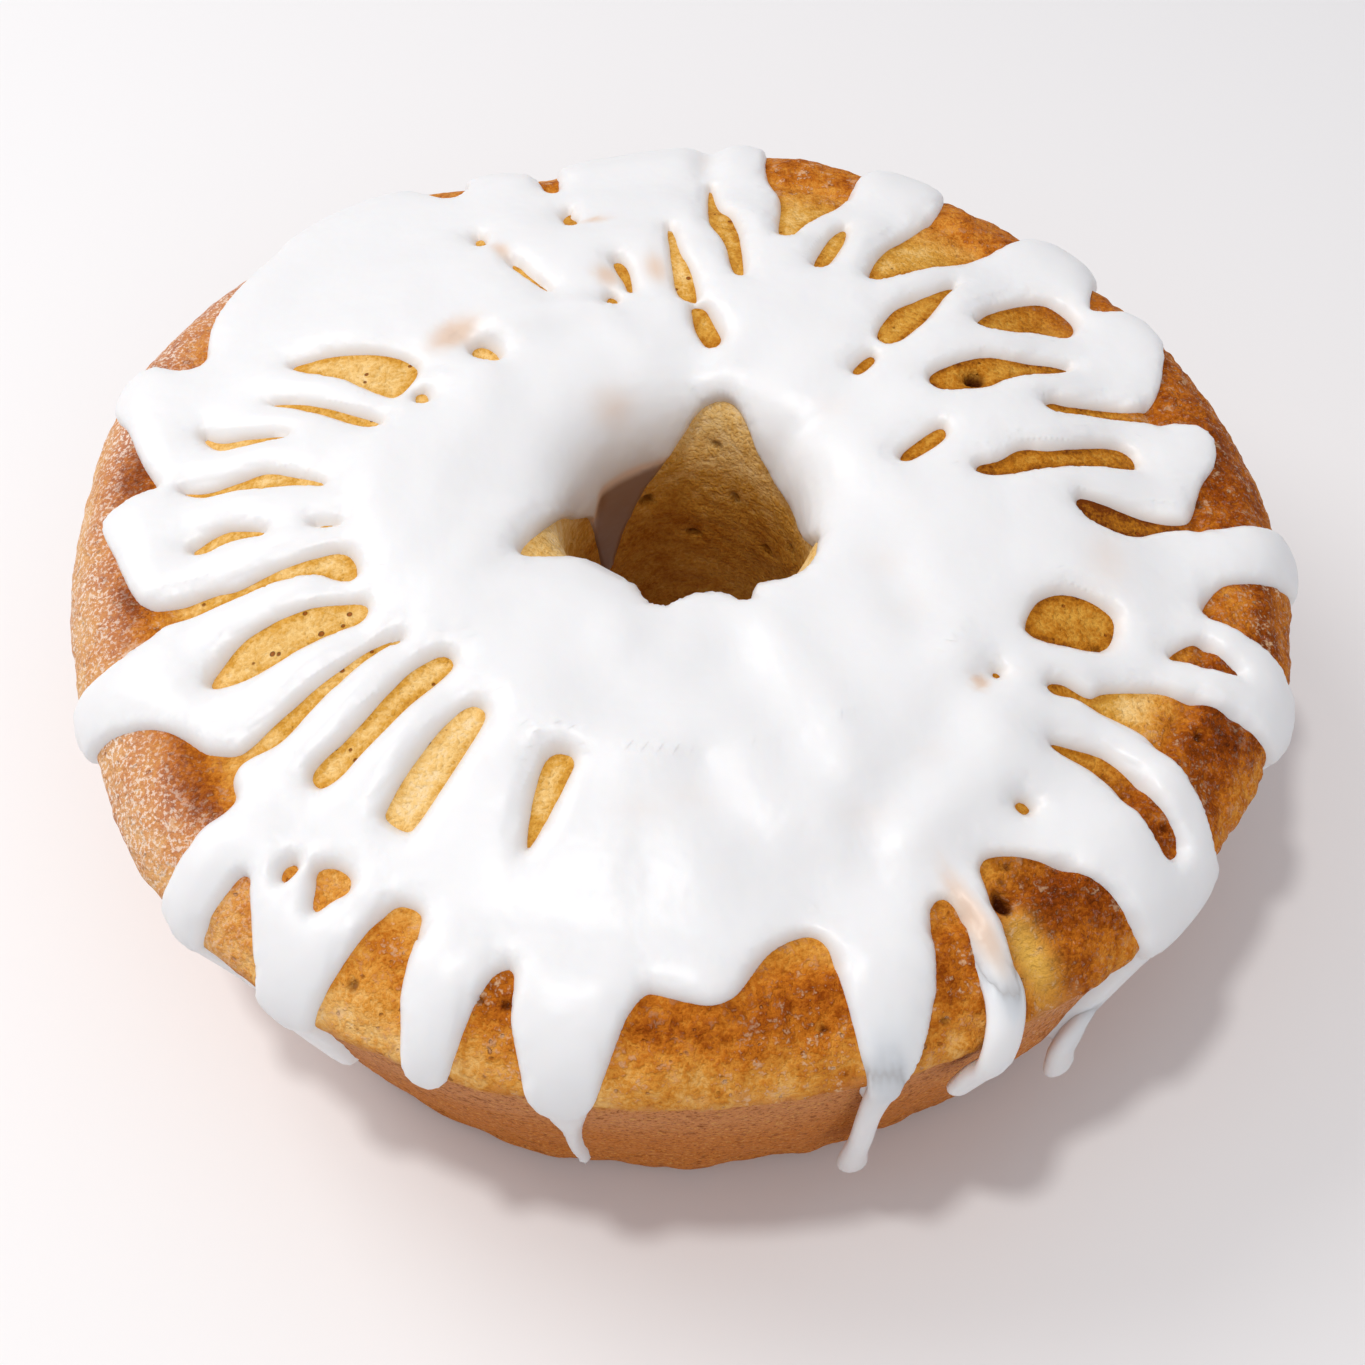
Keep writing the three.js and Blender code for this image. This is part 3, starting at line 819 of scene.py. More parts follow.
def times(add, first, second):
    return add("ShaderNodeMath", {0: first, 1: second}, operation="MULTIPLY").outputs[0]


def attribute(add, name):
    return add("ShaderNodeAttribute", attribute_name=name, attribute_type="GEOMETRY").outputs["Fac"]


print("a noise texture's scale for grains of 1 mm:", round(1 / MM))

# %% Crust colours
CROWN_BAKING = [
    # how baked, colour
    (0.0, (0.92, 0.71, 0.44)), (0.25, (0.86, 0.56, 0.21)), (0.5, (0.66, 0.33, 0.05)),
    (0.75, (0.45, 0.16, 0.010)), (1.0, (0.16, 0.035, 0.002)),
]
RIM_BAKING = [
    (0.0, (0.92, 0.68, 0.42)), (0.2, (0.84, 0.48, 0.15)), (0.4, (0.68, 0.28, 0.04)),
    (0.58, (0.50, 0.145, 0.010)), (0.76, (0.27, 0.055, 0.002)), (1.0, (0.08, 0.012, 0.001)),
]
SIDE_UPPER = (0.60, 0.235, 0.08)
SIDE_LOWER = (0.54, 0.17, 0.03)
SIDE_DARK = (0.24, 0.055, 0.006)
SIDE_GOLD = (0.72, 0.36, 0.09)
# pink of undissolved sugar on the left of the rim, and also a painted haze of light on that side
BLUSH_AND_HAZE = (0.58, 0.29, 0.195)
SUGAR = (0.92, 0.78, 0.66)
FLOUR = (0.82, 0.55, 0.33)
CRUMB = (0.76, 0.43, 0.08)
PIT = (0.26, 0.055, 0.003)
# almost black: painted shade in the hollows of the pores and of the tear
PORE_SHADE = (0.07, 0.012, 0.001)
print("rungs of the ladders:", len(CROWN_BAKING), "on the crown,", len(RIM_BAKING), "on the rim")

# %% Crust material
BUMP = 1.2 * MM


def ladder(add, value, stops):
    """The colour of a value on a ladder of colours."""
    node = add("ShaderNodeValToRGB", {"Fac": value})
    rungs = node.color_ramp.elements
    for place, _ in stops[1:-1]:
        rungs.new(place)
    for rung, (place, shade) in zip(rungs, stops):
        rung.position = place
        rung.color = (*shade, 1)
    return node.outputs["Color"]


def crust_material():
    material = bpy.data.materials.new("baked crust")
    tree, shader, add = nodes_of(material)
    where = add("ShaderNodeTexCoord").outputs["Object"]
    patches = grain(add, where, 8, 3)
    mottle = grain(add, where, 2.6, 3, 0.6)
    fine = grain(add, where, 0.85, 2, 0.6)
    rim = attribute(add, "rim")
    blush_and_haze = attribute(add, "blush_and_haze")
    baked_and_shade = attribute(add, "baked_and_shade")
    for texture, low, high, more in (
        (patches, 0.35, 0.65, 0.06), (mottle, 0.34, 0.66, 0.06), (fine, 0.32, 0.68, 0.07),
    ):
        baked_and_shade = plus(add, baked_and_shade, ranged(add, texture, low, high, -more, more))
    colour = mixed(add, rim, ladder(add, baked_and_shade, CROWN_BAKING), ladder(add, baked_and_shade, RIM_BAKING))
    hollows = ranged(add, grain(add, where, 2.6, 1), 0.70, 0.80)
    specks = ranged(add, grain(add, where, 1.7, 1), 0.69, 0.80)
    pits = times(add, plus(add, hollows, specks), rim)
    side = mixed(add, attribute(add, "low"), SIDE_UPPER, SIDE_LOWER)
    for texture, low, high, most, shade in (
        (fine, 0.56, 0.70, 0.8, SIDE_GOLD), (fine, 0.46, 0.34, 0.7, SIDE_DARK),
        (mottle, 0.55, 0.72, 0.6, SIDE_DARK),
    ):
        side = mixed(add, ranged(add, texture, low, high, 0, most), side, shade)
    sugar = ranged(add, grain(add, where, 0.95, 2, 0.7), 0.49, 0.62)
    wisps = plus(add, times(add, fine, 0.5), grain(add, where, 3.4, 3, 0.65))
    wisps = ranged(add, wisps, 0.80, 1.0)
    cells = add("ShaderNodeTexVoronoi", {"Vector": where, "Scale": 1 / (4.6 * MM)})
    pinholes = plus(add, cells.outputs["Distance"], times(add, patches, 0.25))
    pinholes = times(add, ranged(add, pinholes, 0.255, 0.205), attribute(add, "pinholed"))
    for factor, shade in (
        (times(add, pits, 0.65), PIT),
        (attribute(add, "side"), side),
        (times(add, blush_and_haze, 0.6), BLUSH_AND_HAZE),
        (times(add, sugar, blush_and_haze), SUGAR),
        (attribute(add, "crumb"), CRUMB),
        (times(add, wisps, attribute(add, "flour")), FLOUR),
        (times(add, pinholes, 0.9), PIT),
        (attribute(add, "pore_shade"), PORE_SHADE),
    ):
        colour = mixed(add, factor, colour, shade)
    tree.links.new(colour, shader.inputs["Base Color"])
    height = plus(add, times(add, fine, 0.5), mottle)
    height = plus(add, height, times(add, pits, -0.35))
    height = plus(add, height, times(add, pinholes, -0.4))
    bump = add("ShaderNodeBump", {"Height": height, "Strength": 1.0, "Distance": BUMP})
    tree.links.new(bump.outputs["Normal"], shader.inputs["Normal"])
    glints = ranged(add, grain(add, where, 1.1, 2, 0.7), 0.55, 0.65)
    glints = times(add, glints, attribute(add, "sparkle"))
    tree.links.new(ranged(add, glints, 0, 1, 0.6, 0.3), shader.inputs["Roughness"])
    tree.links.new(ranged(add, glints, 0, 1, 0.04, 0.6), shader.inputs["Specular IOR Level"])
    return material


baked_crust = crust_material()
print("crust material has", len(baked_crust.node_tree.nodes), "nodes")

# %% [markdown]
# ## How baked each place is, and where shade is painted
#
# The right side of the cake is a little darker, as painted shade of the side turned away from the
# light. The bare crust right beside the icing is darker too, partly because the icing keeps it
# damp and partly as painted shade of the icing's edge. The inside of the hole is pale at its lip
# and painted darker below, as the shade deeper in the hole. On top of that come the patches that
# this cake has, each an oval that bakes a place more or less; a few are painted shade, the dark
# crease beside the icing's lobes on the left of the rim.

# %% Crust attributes
BROWNING_AND_SHADE = [
    # angle, along, half width, half length in millimetres, how much more baked; a few spots are painted
    # shade
    (60, 66, 46, 26, -0.13), (238, 48, 7, 22, -0.16), (89, 40, 8, 20, -0.18), (207, 52, 14, 26, 0.05),
    (355, 60, 9, 20, 0.24), (7, 56, 10, 24, 0.08), (34, 68, 10, 14, 0.16), (320, 76, 6, 16, 0.16),
    (347, 87, 8, 5, -0.26), (4, 96, 20, 8, 0.12), (333, 52, 12, 8, 0.08), (329, 71, 12, 7, -0.34),
    (333, 92, 22, 12, 0.2), (347, 92, 14, 12, 0.1), (308, 84, 14, 12, 0.2), (304, 101, 14, 5, 0.2),
    (276, 88, 34, 7, 0.12), (255, 84, 12, 6, 0.14), (246, 100, 20, 6, -0.12), (210, 81, 22, 5, 0.22),
    # the spots at 175, 191 and 161 degrees are painted shade: the dark crease beside the icing's lobes
    (218, 86, 10, 5, 0.24), (175, 87, 14, 7, 0.36), (191, 85, 14, 6, 0.3), (161, 93, 12, 6, 0.28),
    (148, 97, 16, 5, 0.22),
]
CRUMB_SHOWS = (301.8, 93, 3.2, 10)


def crust_attributes(angle, along):
    """How baked, shaded by the pan, torn, sugary and porous each place is, from 0 to 1; the baking number
    and the pores carry painted shade, and the blush a painted haze of light.
    """
    points = skin(angle, along, 0)
    patchy = wrinkle(points, 18, 2, 7)
    # darker towards the right side: painted shade of the side turned away from the light
    right_side_shade = facing(angle, 10)
    rim = smooth(along, 66, RIM_START)
    # darker on bare crust right beside the icing: partly damp crust, partly painted shade of the icing's
    # edge
    damp_and_shade = smooth(-icing_depth(angle, along), 2.6, 0.4)
    crown_baked_and_shade = 0.46 + 0.18 * right_side_shade + 0.16 * damp_and_shade
    rim_baked_and_shade = 0.49 + 0.12 * right_side_shade + 0.10 * groove(along, 87, 8) - 0.10 * groove(along, 102, 5)
    baked_and_shade = crown_baked_and_shade * (1 - rim) + rim_baked_and_shade * rim + 0.07 * patchy
    for *where, more in BROWNING_AND_SHADE:
        baked_and_shade = baked_and_shade + more * spot(angle, along, *where)
    # inside the hole the crust is painted darker further down: painted shade deeper in the hole
    inside = smooth(along, 4, -8)
    baked_and_shade = baked_and_shade * (1 - inside) + inside * (0.24 + 0.36 * smooth(along, -8, -48))
    ragged = 2.5 * patchy + 4.0 * wrinkle(points, 4.5, 3, 8)
    # the left of the rim, where the light comes from, takes pink sugar and a painted haze of light
    hazy = smooth(facing(angle, 176), 0.45, 0.85) * smooth(along, 81, 93)
    hazy = hazy * (1 - 0.75 * smooth(baked_and_shade, 0.62, 0.82)) * (1 - 0.75 * smooth(along, 112, 150))
    blush_and_haze = hazy * (0.75 + 0.3 * patchy)
    glinting = 0.15 + 0.85 * smooth(facing(angle, 345), 0.55, 0.9)
    # pores painted almost black, as painted shade in their hollows
    pore_shade = np.zeros(len(angle))
    for *where, depth in PORES:
        dark = min(1, 0.25 + 0.25 * depth)
        pore_shade = np.maximum(pore_shade, dark * smooth(spot(angle, along, *where), 0.35, 0.75))
    return {
        "baked_and_shade": baked_and_shade,
        "rim": rim,
        "side": smooth(along + ragged, 103, 110),
        "low": smooth(along, 116, 140),
        "blush_and_haze": blush_and_haze,
        "crumb": spot(angle, along, *CRUMB_SHOWS) * smooth(along, SPLIT, 85),
        "flour": rim * smooth(along, 112, 105) * (0.4 + 0.5 * patchy),
        "sparkle": rim * glinting + 0.5 * blush_and_haze,
        "pinholed": smooth(along, 10, 24) * (1 - rim),
        "pore_shade": pore_shade,
    }


def store(piece, values):
    """Writes numbers for the mesh's first vertices into attributes, and 0 for the rest of them."""
    for name, numbers in values.items():
        padded = np.zeros(len(piece.data.vertices), np.float32)
        padded[:len(numbers)] = np.clip(numbers, 0, 1)
        piece.data.attributes.new(name, "FLOAT", "POINT").data.foreach_set("value", padded)


print("patches baked more or less than the rest:", len(BROWNING_AND_SHADE))

# %% [markdown]
# ## The crust
#
# The section's outline is closed underneath by a flat foot, spun, refined where bare crust shows
# and then moved vertex by vertex to its settled place with the relief on it. The foot itself stays
# flat, as the pan's floor made it. The outline closes at the hole's foot, where both its ends carry
# the same distance along, because doubles are merged there and the cuts above it need that value.

# %% Build the crust
FOOT_ROWS = 8
COARSE_STEP = 2.9
RIM_EDGE, SHOWN_EDGE, HIDDEN_EDGE = 1.05, 2.1, 3.8


def crust_length(angle, along):
    """The longest edge wanted on the crust, in millimetres."""
    depth = icing_depth(angle, np.clip(along, HOLE_FOOT, SIDE_FOOT))
    shown = (depth < 1.5) & (along > HOLE_FOOT) & (along < SIDE_FOOT)
    rim = shown & (along > 20) & (along < 112)
    return np.where(rim, RIM_EDGE, np.where(shown, SHOWN_EDGE, HIDDEN_EDGE))


def build_crust():
    along = spaced(HOLE_FOOT, SIDE_FOOT, COARSE_STEP)
    radius, height = section_at(along)[:2]
    foot = np.linspace(radius[-1], radius[0], FOOT_ROWS + 2)[1:-1]
    outline = np.vstack([np.stack([radius, height], 1), np.stack([foot, 0 * foot], 1)])
    marks = np.concatenate([along, SIDE_FOOT + radius[-1] - foot])
    bm = spun_ring([*marks, HOLE_FOOT], [*outline, outline[0]])
    bmesh.ops.remove_doubles(bm, verts=bm.verts, dist=0.001)
    refine(bm, crust_length, 3)
    angle, along = on_map(bm)
    round_points = np.array([vertex.co for vertex in bm.verts])
    reach = np.hypot(round_points[:, 0], round_points[:, 1])
    under = round_points[:, 2] < 0.001
    under &= (reach > radius[0] + 0.01) & (reach < radius[-1] - 0.01)
    along = np.where(under, SIDE_FOOT, np.minimum(along, SIDE_FOOT))
    points = skin(angle, along, np.where(under, 0, relief(angle, along)))
    points[under] = settle(angle, reach, round_points[:, 2])[under]
    points[:, 2] = np.maximum(points[:, 2], 0)
    for vertex, point in zip(bm.verts, points):
        vertex.co = point
    bmesh.ops.recalc_face_normals(bm, faces=bm.faces)
    piece = finish_piece(bm, "baked_ring", baked_crust)
    store(piece, crust_attributes(angle, along))
    return piece


crust = build_crust()
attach(crust, "root")
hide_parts("cake")

# %% [markdown]
# ## The icing's material
#
# Sugar icing is white because tiny crystals scatter the light inside it, so it glows softly instead
# of looking like paint, and where it runs thin the crust shows through as a warm beige. A little
# subsurface scattering gives the first. For the second the icing could be see-through, but an
# attribute that says how thin it is, mixed into its colour, is quicker and easier to place. The same
# attribute also paints shade: beige in shaded valleys of the pool, and a dark brown film of painted
# shade on the icing down the hole. A warm tint along the icing's edges is partly the crust showing
# through and partly painted shade and painted warm light reflected from the crust.

# %% Icing material
ICING_WHITE = (0.80, 0.795, 0.795)
# warm tint along the icing's edges: partly crust showing through, partly painted shade and painted warm
# light reflected from the crust
ICING_EDGE_AND_SHADE = (0.74, 0.60, 0.48)
ICING_THIN_AND_SHADE = (0.74, 0.57, 0.45)
# dark brown icing down the hole: its thin film plus painted shade
ICING_FILM_IN_SHADE = (0.24, 0.12, 0.06)


def icing_material():
    material = bpy.data.materials.new("sugar icing")
    tree, shader, add = nodes_of(material)
    where = add("ShaderNodeTexCoord").outputs["Object"]
    thin_and_shade = attribute(add, "thin_and_shade")
    # the thin attribute paints see-through beige and also painted shade in the pool's valleys
    colour = mixed(add, ranged(add, thin_and_shade, 0.0, 0.55), ICING_WHITE, ICING_THIN_AND_SHADE)
    colour = mixed(add, ranged(add, thin_and_shade, 0.5, 1.0), colour, ICING_FILM_IN_SHADE)
    colour = mixed(add, times(add, attribute(add, "edge"), 0.45), colour, ICING_EDGE_AND_SHADE)
    tree.links.new(colour, shader.inputs["Base Color"])
    ripple = grain(add, where, 9, 2)
    bump = add("ShaderNodeBump", {"Height": ripple, "Strength": 0.4, "Distance": 1.0 * MM})
    tree.links.new(bump.outputs["Normal"], shader.inputs["Normal"])
    shader.inputs["Roughness"].default_value = 0.38
    shader.inputs["Specular IOR Level"].default_value = 0.45
    shader.inputs["Subsurface Weight"].default_value = 0.4
    shader.inputs["Subsurface Radius"].default_value = (1.0, 0.8, 0.65)
    shader.inputs["Subsurface Scale"].default_value = 3 * MM
    return material


sugar_icing = icing_material()
print("icing material has", len(sugar_icing.node_tree.nodes), "nodes")

# %% [markdown]
# ## Folds and thin places
#
# The icing was poured in two rounds, so a step runs over it where the second pour stopped, and it
# set with soft folds and billows. Where it slid off a ridge of the crust it is thin. They are drawn
# on the same map: the step as a line round the cake, the folds as short lines, the thin places as
# ovals. Some of those ovals are also painted shade in the pool's valleys, tinted into the icing's
# colour. Together with the thickness of the pool they say how thick the icing is anywhere.

# %% Folds, the second pour and thin places
THICKNESS = 3.4
FOLD_STRENGTH = 2.6
SECOND_POUR = [
    # angle, along, height of its edge
    (0, 28, 0.2), (75, 21, 1), (96.5, 20.8, 1.5), (108, 22.2, 1.6), (128.5, 28.8, 1.8), (147, 25, 1.5),
    (152, 27.5, 1.4), (172, 32.5, 1.3), (184, 33.2, 1.3), (191.5, 32, 1.3), (200, 35, 1.3),
    (217, 38, 1.2), (227, 31.8, 1), (236, 34, 1), (241, 36.8, 1), (253, 36.8, 1), (271, 35, 0.9),
    (275, 34, 0.4), (282, 40, 0.2), (295, 46, 0.4), (302, 56, 0.4), (316, 48, 0.6), (321, 37, 0.6),
    (334, 26, 0.5), (345, 27, 0.4), (353, 33, 0.4),
]
FOLDS = [
    # height, half width, places along it
    (0.7, 4.5, [(226, -5), (238, -6), (250, -4), (260, 0), (270, -3), (280, -5), (288, 0)]),
    (0.6, 3.5, [(296, -3), (304, -2), (314, 0), (326, -1)]),
    (0.8, 4.0, [(221, 17.8), (227.8, 7.8), (245.8, 5.8), (254.8, 11.2)]),
    (0.8, 3.5, [(214, 22.5), (209.2, 14), (202, 6), (194.5, 1)]),
    (0.7, 2.5, [(203, 27), (195.2, 27), (187.2, 28.2), (179.2, 29.2)]),
    (0.6, 4.0, [(205, 22.8), (188.5, 17.5), (175.8, 16), (160.8, 13.2), (147.5, 17), (136.8, 19.8)]),
    (0.8, 3.0, [(131.8, 26), (117.8, 22.2), (110, 17.2), (107.2, 11.5)]),
    (-0.9, 5.0, [(121.2, 16.8), (101.8, 10.5), (84.5, 5.2)]),
    (0.6, 4.0, [(104, 4.8), (84.5, 6.8), (76.8, -0.5)]),
    (0.5, 4.0, [(16, 3), (357.8, 7.5), (352, 12)]),
    (-0.8, 4.0, [(38, -5.2), (34.2, 1), (34, 9.5), (27.8, 11.8)]),
    (-0.9, 4.5, [(330, 14), (322.8, 23.2), (321.2, 29.5)]),
    (0.6, 4.5, [(292, 10), (293.5, 16), (295, 31), (294.5, 45)]),
    (-0.8, 5.0, [(255.5, 24.2), (265.2, 25), (274.2, 20.2), (284.2, 11.2)]),
    (-0.6, 4.0, [(284, 18), (285, 27), (287.5, 32.5)]),
    (0.7, 3.0, [(249.8, 35.5), (258.8, 34), (271.2, 34), (272.5, 29.5)]),
    (-0.8, 6.0, [(274.2, 38.5), (276.2, 47.2), (279.8, 59.2), (283.5, 64.5)]),
    (0.8, 5.0, [(321.2, 36.8), (316, 48.8), (311, 58.2), (302, 58.8), (295.5, 62.5)]),
    (-1.3, 3.6, [(318.8, 44.8), (313, 45.2), (304.8, 49.8), (298.2, 54), (293.5, 56.2)]),
    (-0.9, 5.0, [(292.5, 64.8), (288, 70.5), (285.8, 65.2)]),
    (-1.2, 3.0, [(85.6, 80), (85.6, 88), (85.6, 96)]),
]
THIN_AND_SHADED_PLACES = [
    # angle, along, half width, half length, amount of thinning and of painted shade
    (138.5, 31.4, 7, 3.6, 0.6), (103.5, 31, 3.4, 4, 0.5), (93.5, 32, 3, 6, 0.45),
    (101.6, 55, 4, 1.6, 0.5), (118.4, 50, 2.2, 4, 0.45), (298.4, 82, 2.6, 12, 0.55),
    (124, -5, 7, 4, 0.3), (266.5, 48.5, 7, 3.6, 0.12), (272.5, 44.8, 6, 3.4, 0.12),
    (293.3, 55.6, 6, 3.6, 0.14), (318, 44.8, 2.2, 1.8, 0.6), (305, 49.6, 5, 3, 0.12),
    (347, 57, 10, 6, 0.2), (323, 24, 6, 5, 0.1), (331, 13, 5, 6, 0.12), (34, 4, 5, 5, 0.12),
    (86, 86, 2.5, 8, 0.15),
]


def beside(points, line, half_width):
    """1 on a line drawn over the cake from above, falling off softly to 0 beside it."""
    places = np.array(line, float)
    path = through(skin(places[:, 0], places[:, 1], 0)[:, :2], 6)
    step = np.diff(path, axis=0)
    close = np.linalg.norm(points[:, :2] - path.mean(axis=0), axis=1) < 90
    here = points[close, :2]
    gaps = []
    for start, way in zip(path, step):
        share = np.clip(((here - start) @ way) / (way @ way + 1e-9), 0, 1)
        gaps.append(np.linalg.norm(here - start - share[:, None] * way, axis=1))
    height = np.zeros(len(points))
    height[close] = np.exp(-((np.min(gaps, axis=0) / half_width) ** 2))
    return height


def thinness_and_shade(angle, along):
    """How thin the icing is, from 0 to 1, with painted shade in its valleys and a painted dark film down
    the hole.
    """
    thin_and_shade = np.zeros(len(angle))
    for *where, amount in THIN_AND_SHADED_PLACES:
        thin_and_shade = np.maximum(thin_and_shade, amount * spot(angle, along, *where))
    # the icing running down the left wall of the hole: a thin film, painted dark as painted shade
    film_in_shade = smooth(along, -17, -25) * smooth(angle, 90, 100) * smooth(angle, 152, 140)
    return np.maximum(thin_and_shade, 0.92 * film_in_shade)


def pour(angle, along):
    """Thickness of the icing away from its edges, in millimetres."""
    points = skin(angle, along, 0)
    round_angle, *lines = zip(*SECOND_POUR)
    edge, step = [np.interp(angle % 360, round_angle, line, period=360) for line in lines]
    second = step * smooth(along, edge + 1.2, edge - 1.4) * smooth(along, -14, -4)
    folds = sum(height * beside(points, line, width) for height, width, line in FOLDS)
    flow = wrinkle(points, 34, 2, 11)
    billows = 0.9 * wrinkle(points, 14, 2, 12) * smooth(along, 78, 60) * smooth(along, -6, 2)
    thin_and_shade = 1 - 0.6 * smooth(thinness_and_shade(angle, along), 0.1, 0.9)
    return thin_and_shade * (THICKNESS * (1 + 0.12 * flow) + second + FOLD_STRENGTH * folds + billows)


probe = pour(np.array([240.0, 240.0, 298.4]), np.array([20.0, 60.0, 82.0]))
print("thickness in both pours, in one and in a thin strand, mm:", probe.round(1))

# %% [markdown]
# ## Drips that hang free
#
# Three drips ran over the rim and hang free of the side, which slopes away under them. A sheet over
# the crust can't do that, so each end is a round tube of its own that tapers with the drip and
# starts inside the sheet. The sheet rises over the tube's back where the two meet, so that no step
# shows, and lets it go further down.

# %% Hanging drips
HANGING = {
    # angle, along, lift, half width, half depth
    "tail of the long front drip": [
        (287.8, 88, -2.4, 4.4, 2.0), (287.5, 94, -0.8, 4.8, 2.8), (287.2, 100, 0.3, 4.4, 2.9),
        (286.7, 107, 1.5, 3.4, 2.5), (286.0, 118, 3.2, 2.6, 2.0), (285.5, 130, 4.6, 2.5, 1.9),
        (285.4, 144, 5.2, 2.8, 2.1), (285.7, 156, 5.6, 3.4, 2.5),
    ],
    "end of the thin drip": [
        (298.2, 84, -2.8, 2.4, 1.4), (298.1, 90, -1.2, 3.4, 1.8), (298.0, 95, 0.4, 4.1, 2.1),
        (297.3, 99.2, 1.8, 4.1, 2.2), (296.3, 102.8, 3.2, 4.0, 2.2), (295.2, 108, 3.7, 3.9, 2.2),
        (294.4, 113.5, 3.9, 3.5, 2.2), (293.8, 118, 4.0, 3.0, 2.0),
    ],
    "free drip of the curtain": [
        (316, 126, -1.6, 2.0, 1.4), (313, 127.4, -0.2, 2.8, 1.8), (310, 129.4, 1.0, 3.4, 2.0),
        (307.8, 132.6, 2.2, 4.0, 2.2), (307.0, 138, 3.6, 4.1, 2.2), (307.0, 143, 4.8, 3.7, 2.1),
        (307.2, 148, 6.4, 3.9, 2.3),
    ],
}
TUBE_SIDES = 16
DIVE = 5.6


def hang(bm, path):
    """Adds a drip: a grid wrapped round its path, closed along its seam and at both its ends."""
    rows = through(path, 5)
    line, outer = [skin(rows[:, 0], rows[:, 1], rows[:, 2] + lift) for lift in (0, 1)]
    heading = np.gradient(line, axis=0)
    heading /= np.linalg.norm(heading, axis=1)[:, None]
    out = outer - line
    out -= (out * heading).sum(axis=1)[:, None] * heading
    out /= np.linalg.norm(out, axis=1)[:, None]
    side = np.cross(heading, out)
    rounding = np.array([0, 0.35, 0.65, 0.88, 0.98, 0.98])
    row = np.array([0, *range(len(rows) - 1), *[len(rows) - 1] * len(rounding)])
    scale = np.concatenate([[0], np.ones(len(rows) - 1), np.sqrt(1 - rounding**2)])
    scale[-1] = 0
    middle = line[row]
    middle[-len(rounding):] += rounding[:, None] * rows[-1, 3] * heading[-1]
    grid = bmesh.ops.create_grid(bm, x_segments=TUBE_SIDES, y_segments=len(row) - 1, size=1)["verts"]
    for vertex in grid:
        bow = (vertex.co.x + 1) * math.pi
        here = round((vertex.co.y + 1) / 2 * (len(row) - 1))
        _, _, _, half_width, half_depth = rows[row[here]]
        shape = side[row[here]] * math.cos(bow) * half_width + out[row[here]] * math.sin(bow) * half_depth
        vertex.co = middle[here] + scale[here] * shape
    bmesh.ops.remove_doubles(bm, verts=grid, dist=0.0001)


def drip_ridge(angle, along, path):
    """Height of a hanging drip's back over the skin, where the sheet has to meet it."""
    rows = through(path, 8)
    height = np.full(len(angle), -DIVE)
    close = np.abs(turned(angle - rows[0, 0])) < 12
    across = turned(angle[close, None] - rows[:, 0]) * np.radians(section_at(along[close])[0])[:, None]
    gap = np.hypot(across, along[close, None] - rows[:, 1])
    nearest = gap.argmin(axis=1)
    _, _, lift, half_width, half_depth = rows[nearest].T
    share = np.clip(gap.min(axis=1) / half_width, 0, 1)
    beyond = np.maximum(gap.min(axis=1) - half_width, 0)
    over = 0.35 - 0.85 * smooth(nearest / 8, 1.5, 3.3)
    back = lift + half_depth * np.sqrt(1 - share**2) + over - 2.2 * beyond
    height[close] = np.maximum(back, -DIVE)
    return height


print("drips that hang free:", ", ".join(HANGING))

# %% [markdown]
# ## The icing
#
# The icing is a sheet on the same map. Its top stands over the crust by a height that rises steeply
# from its edge and levels off at the thickness of the pool, so that every strand has a round back.
# Outside its edge the same surface dives under the crust and ends there, which lets the icing meet
# the crust in a clean line without a seam to model. The sheet starts as a coarse spun ring; faces
# far outside the edge are deleted, the rest is extruded into a top and a bottom, and only the top
# is refined along the edge. At last the drips are added to the same mesh.

# %% Height of the icing
EDGE_SLOPE = 1.75
LEAST_THICKNESS = 0.8


def icing_lift(angle, along, depth):
    """Height of the icing's top over the smooth skin, in millimetres."""
    thickness = np.maximum(pour(angle, along), LEAST_THICKNESS)
    lip = 1.2 + 0.6 * smooth(along, 66, 86) + 0.8 * smooth(along, 2, -8)
    lip = lip * smooth(thickness, 0.5, 2.6)
    covered = np.maximum(depth, 0)
    rise = lip * (1 - np.exp(-covered / 0.7)) + (thickness - lip) * (1 - np.exp(-covered / 2.6))
    height = np.where(depth > 0, rise, np.maximum(EDGE_SLOPE * depth, -DIVE))
    return height + relief(angle, along) * smooth(depth, 3.5, 0.5)


def relaxed(values, pairs, free, rounds):
    """Evens out numbers held by vertices, each with its neighbours, where they are free to move."""
    count = np.maximum(np.bincount(pairs.ravel(), minlength=len(values)), 1)
    for _ in range(rounds):
        around = np.zeros(len(values))
        np.add.at(around, pairs[:, 0], values[pairs[:, 1]])
        np.add.at(around, pairs[:, 1], values[pairs[:, 0]])
        values = np.where(free, 0.5 * values + 0.5 * around / count, values)
    return values


probe = icing_lift(np.full(3, 270.0), np.full(3, 60.0), np.array([-2.0, 0.5, 6.0]))
print("top 2 mm outside the edge, 0.5 and 6 mm inside it, mm:", probe.round(1))

# %% Build the icing
ROOT = 6.5
SHEET_INNER, SHEET_OUTER = -64.0, SIDE_FOOT - 2
SHEET_STEP = 2.8


def icing_length(angle, along):
    """The longest edge wanted on the icing's top, in millimetres."""
    near = np.abs(icing_depth(angle, along))
    inner = np.where(along > 78, 1.9, 3.0)
    return np.where(near < 2.4, 0.95, np.where(near < 5, 1.7, inner))


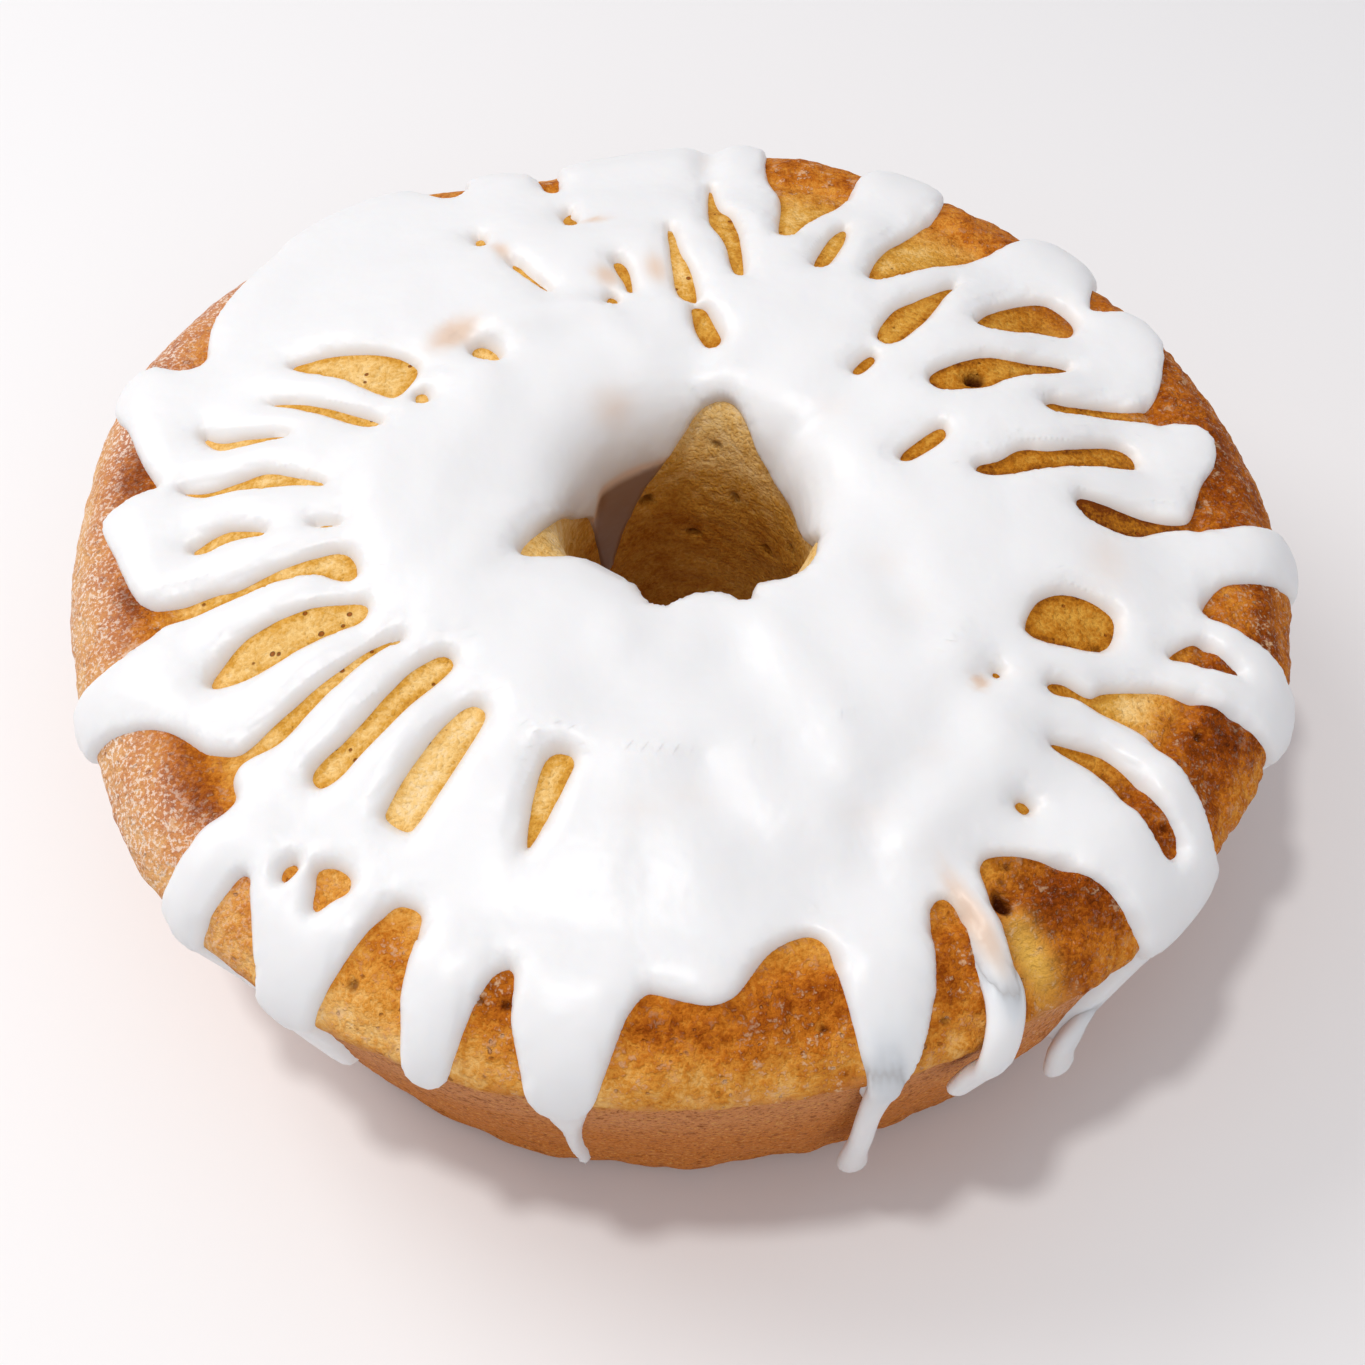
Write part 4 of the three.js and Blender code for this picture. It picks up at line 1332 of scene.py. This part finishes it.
def build_icing():
    along = spaced(SHEET_INNER, SHEET_OUTER, SHEET_STEP)
    bm = spun_ring(along, np.stack(section_at(along)[:2], 1))
    top = bm.verts.layers.float.new("top")
    depth = dict(zip(bm.verts, icing_depth(*on_map(bm))))
    far = [face for face in bm.faces if max(depth[vertex] for vertex in face.verts) < -3.2]
    bmesh.ops.delete(bm, geom=far, context="FACES")
    grown = bmesh.ops.extrude_face_region(bm, geom=bm.faces[:], use_keep_orig=True)["geom"]
    for vertex in [item for item in grown if isinstance(item, bmesh.types.BMVert)]:
        vertex[top] = 1
    refine(bm, icing_length, 3, only=lambda edge: min(vertex[top] for vertex in edge.verts) > 0.99)
    angle, along = on_map(bm)
    depth = icing_depth(angle, along)
    is_top = np.array([vertex[top] for vertex in bm.verts]) > 0.99
    bm.verts.index_update()
    pairs = np.array([[vertex.index for vertex in edge.verts] for edge in bm.edges])
    lift = icing_lift(angle, along, depth)
    lift = relaxed(lift, pairs[is_top[pairs].all(axis=1)], is_top & (depth > 0.9), 6)
    for path in HANGING.values():
        ridge = drip_ridge(angle, along, path)
        lift = lift + np.maximum(ridge - lift, 0) * smooth(depth, 0.2, 2.2)
    lift = np.where(is_top, lift, -ROOT)
    for vertex, point in zip(bm.verts, skin(angle, along, lift)):
        vertex.co = point
    for path in HANGING.values():
        hang(bm, path)
    bmesh.ops.recalc_face_normals(bm, faces=bm.faces)
    piece = finish_piece(bm, "poured_icing", sugar_icing)
    # edge tint: partly crust showing through the thin edge, partly painted contact shade and painted
    # reflected crust light
    edge = np.exp(-np.maximum(depth, 0)) * smooth(along, 92, 76) * smooth(along, -20, -8)
    store(piece, {"thin_and_shade": thinness_and_shade(angle, along), "edge": edge})
    return piece


icing = build_icing()
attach(icing, "root")
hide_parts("icing")

# %% [markdown]
# ## Finish
#
# The last cell gathers the box of the imported model and the box of what is shown, and prints the
# box of what is shown.

# %% Sizes and finish
boxes = {"cad": CAD_BOX, "shown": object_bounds()}
boxes = {name: [list(corner) for corner in box] for name, box in boxes.items()}
print("box of what is shown, m:", boxes["shown"])
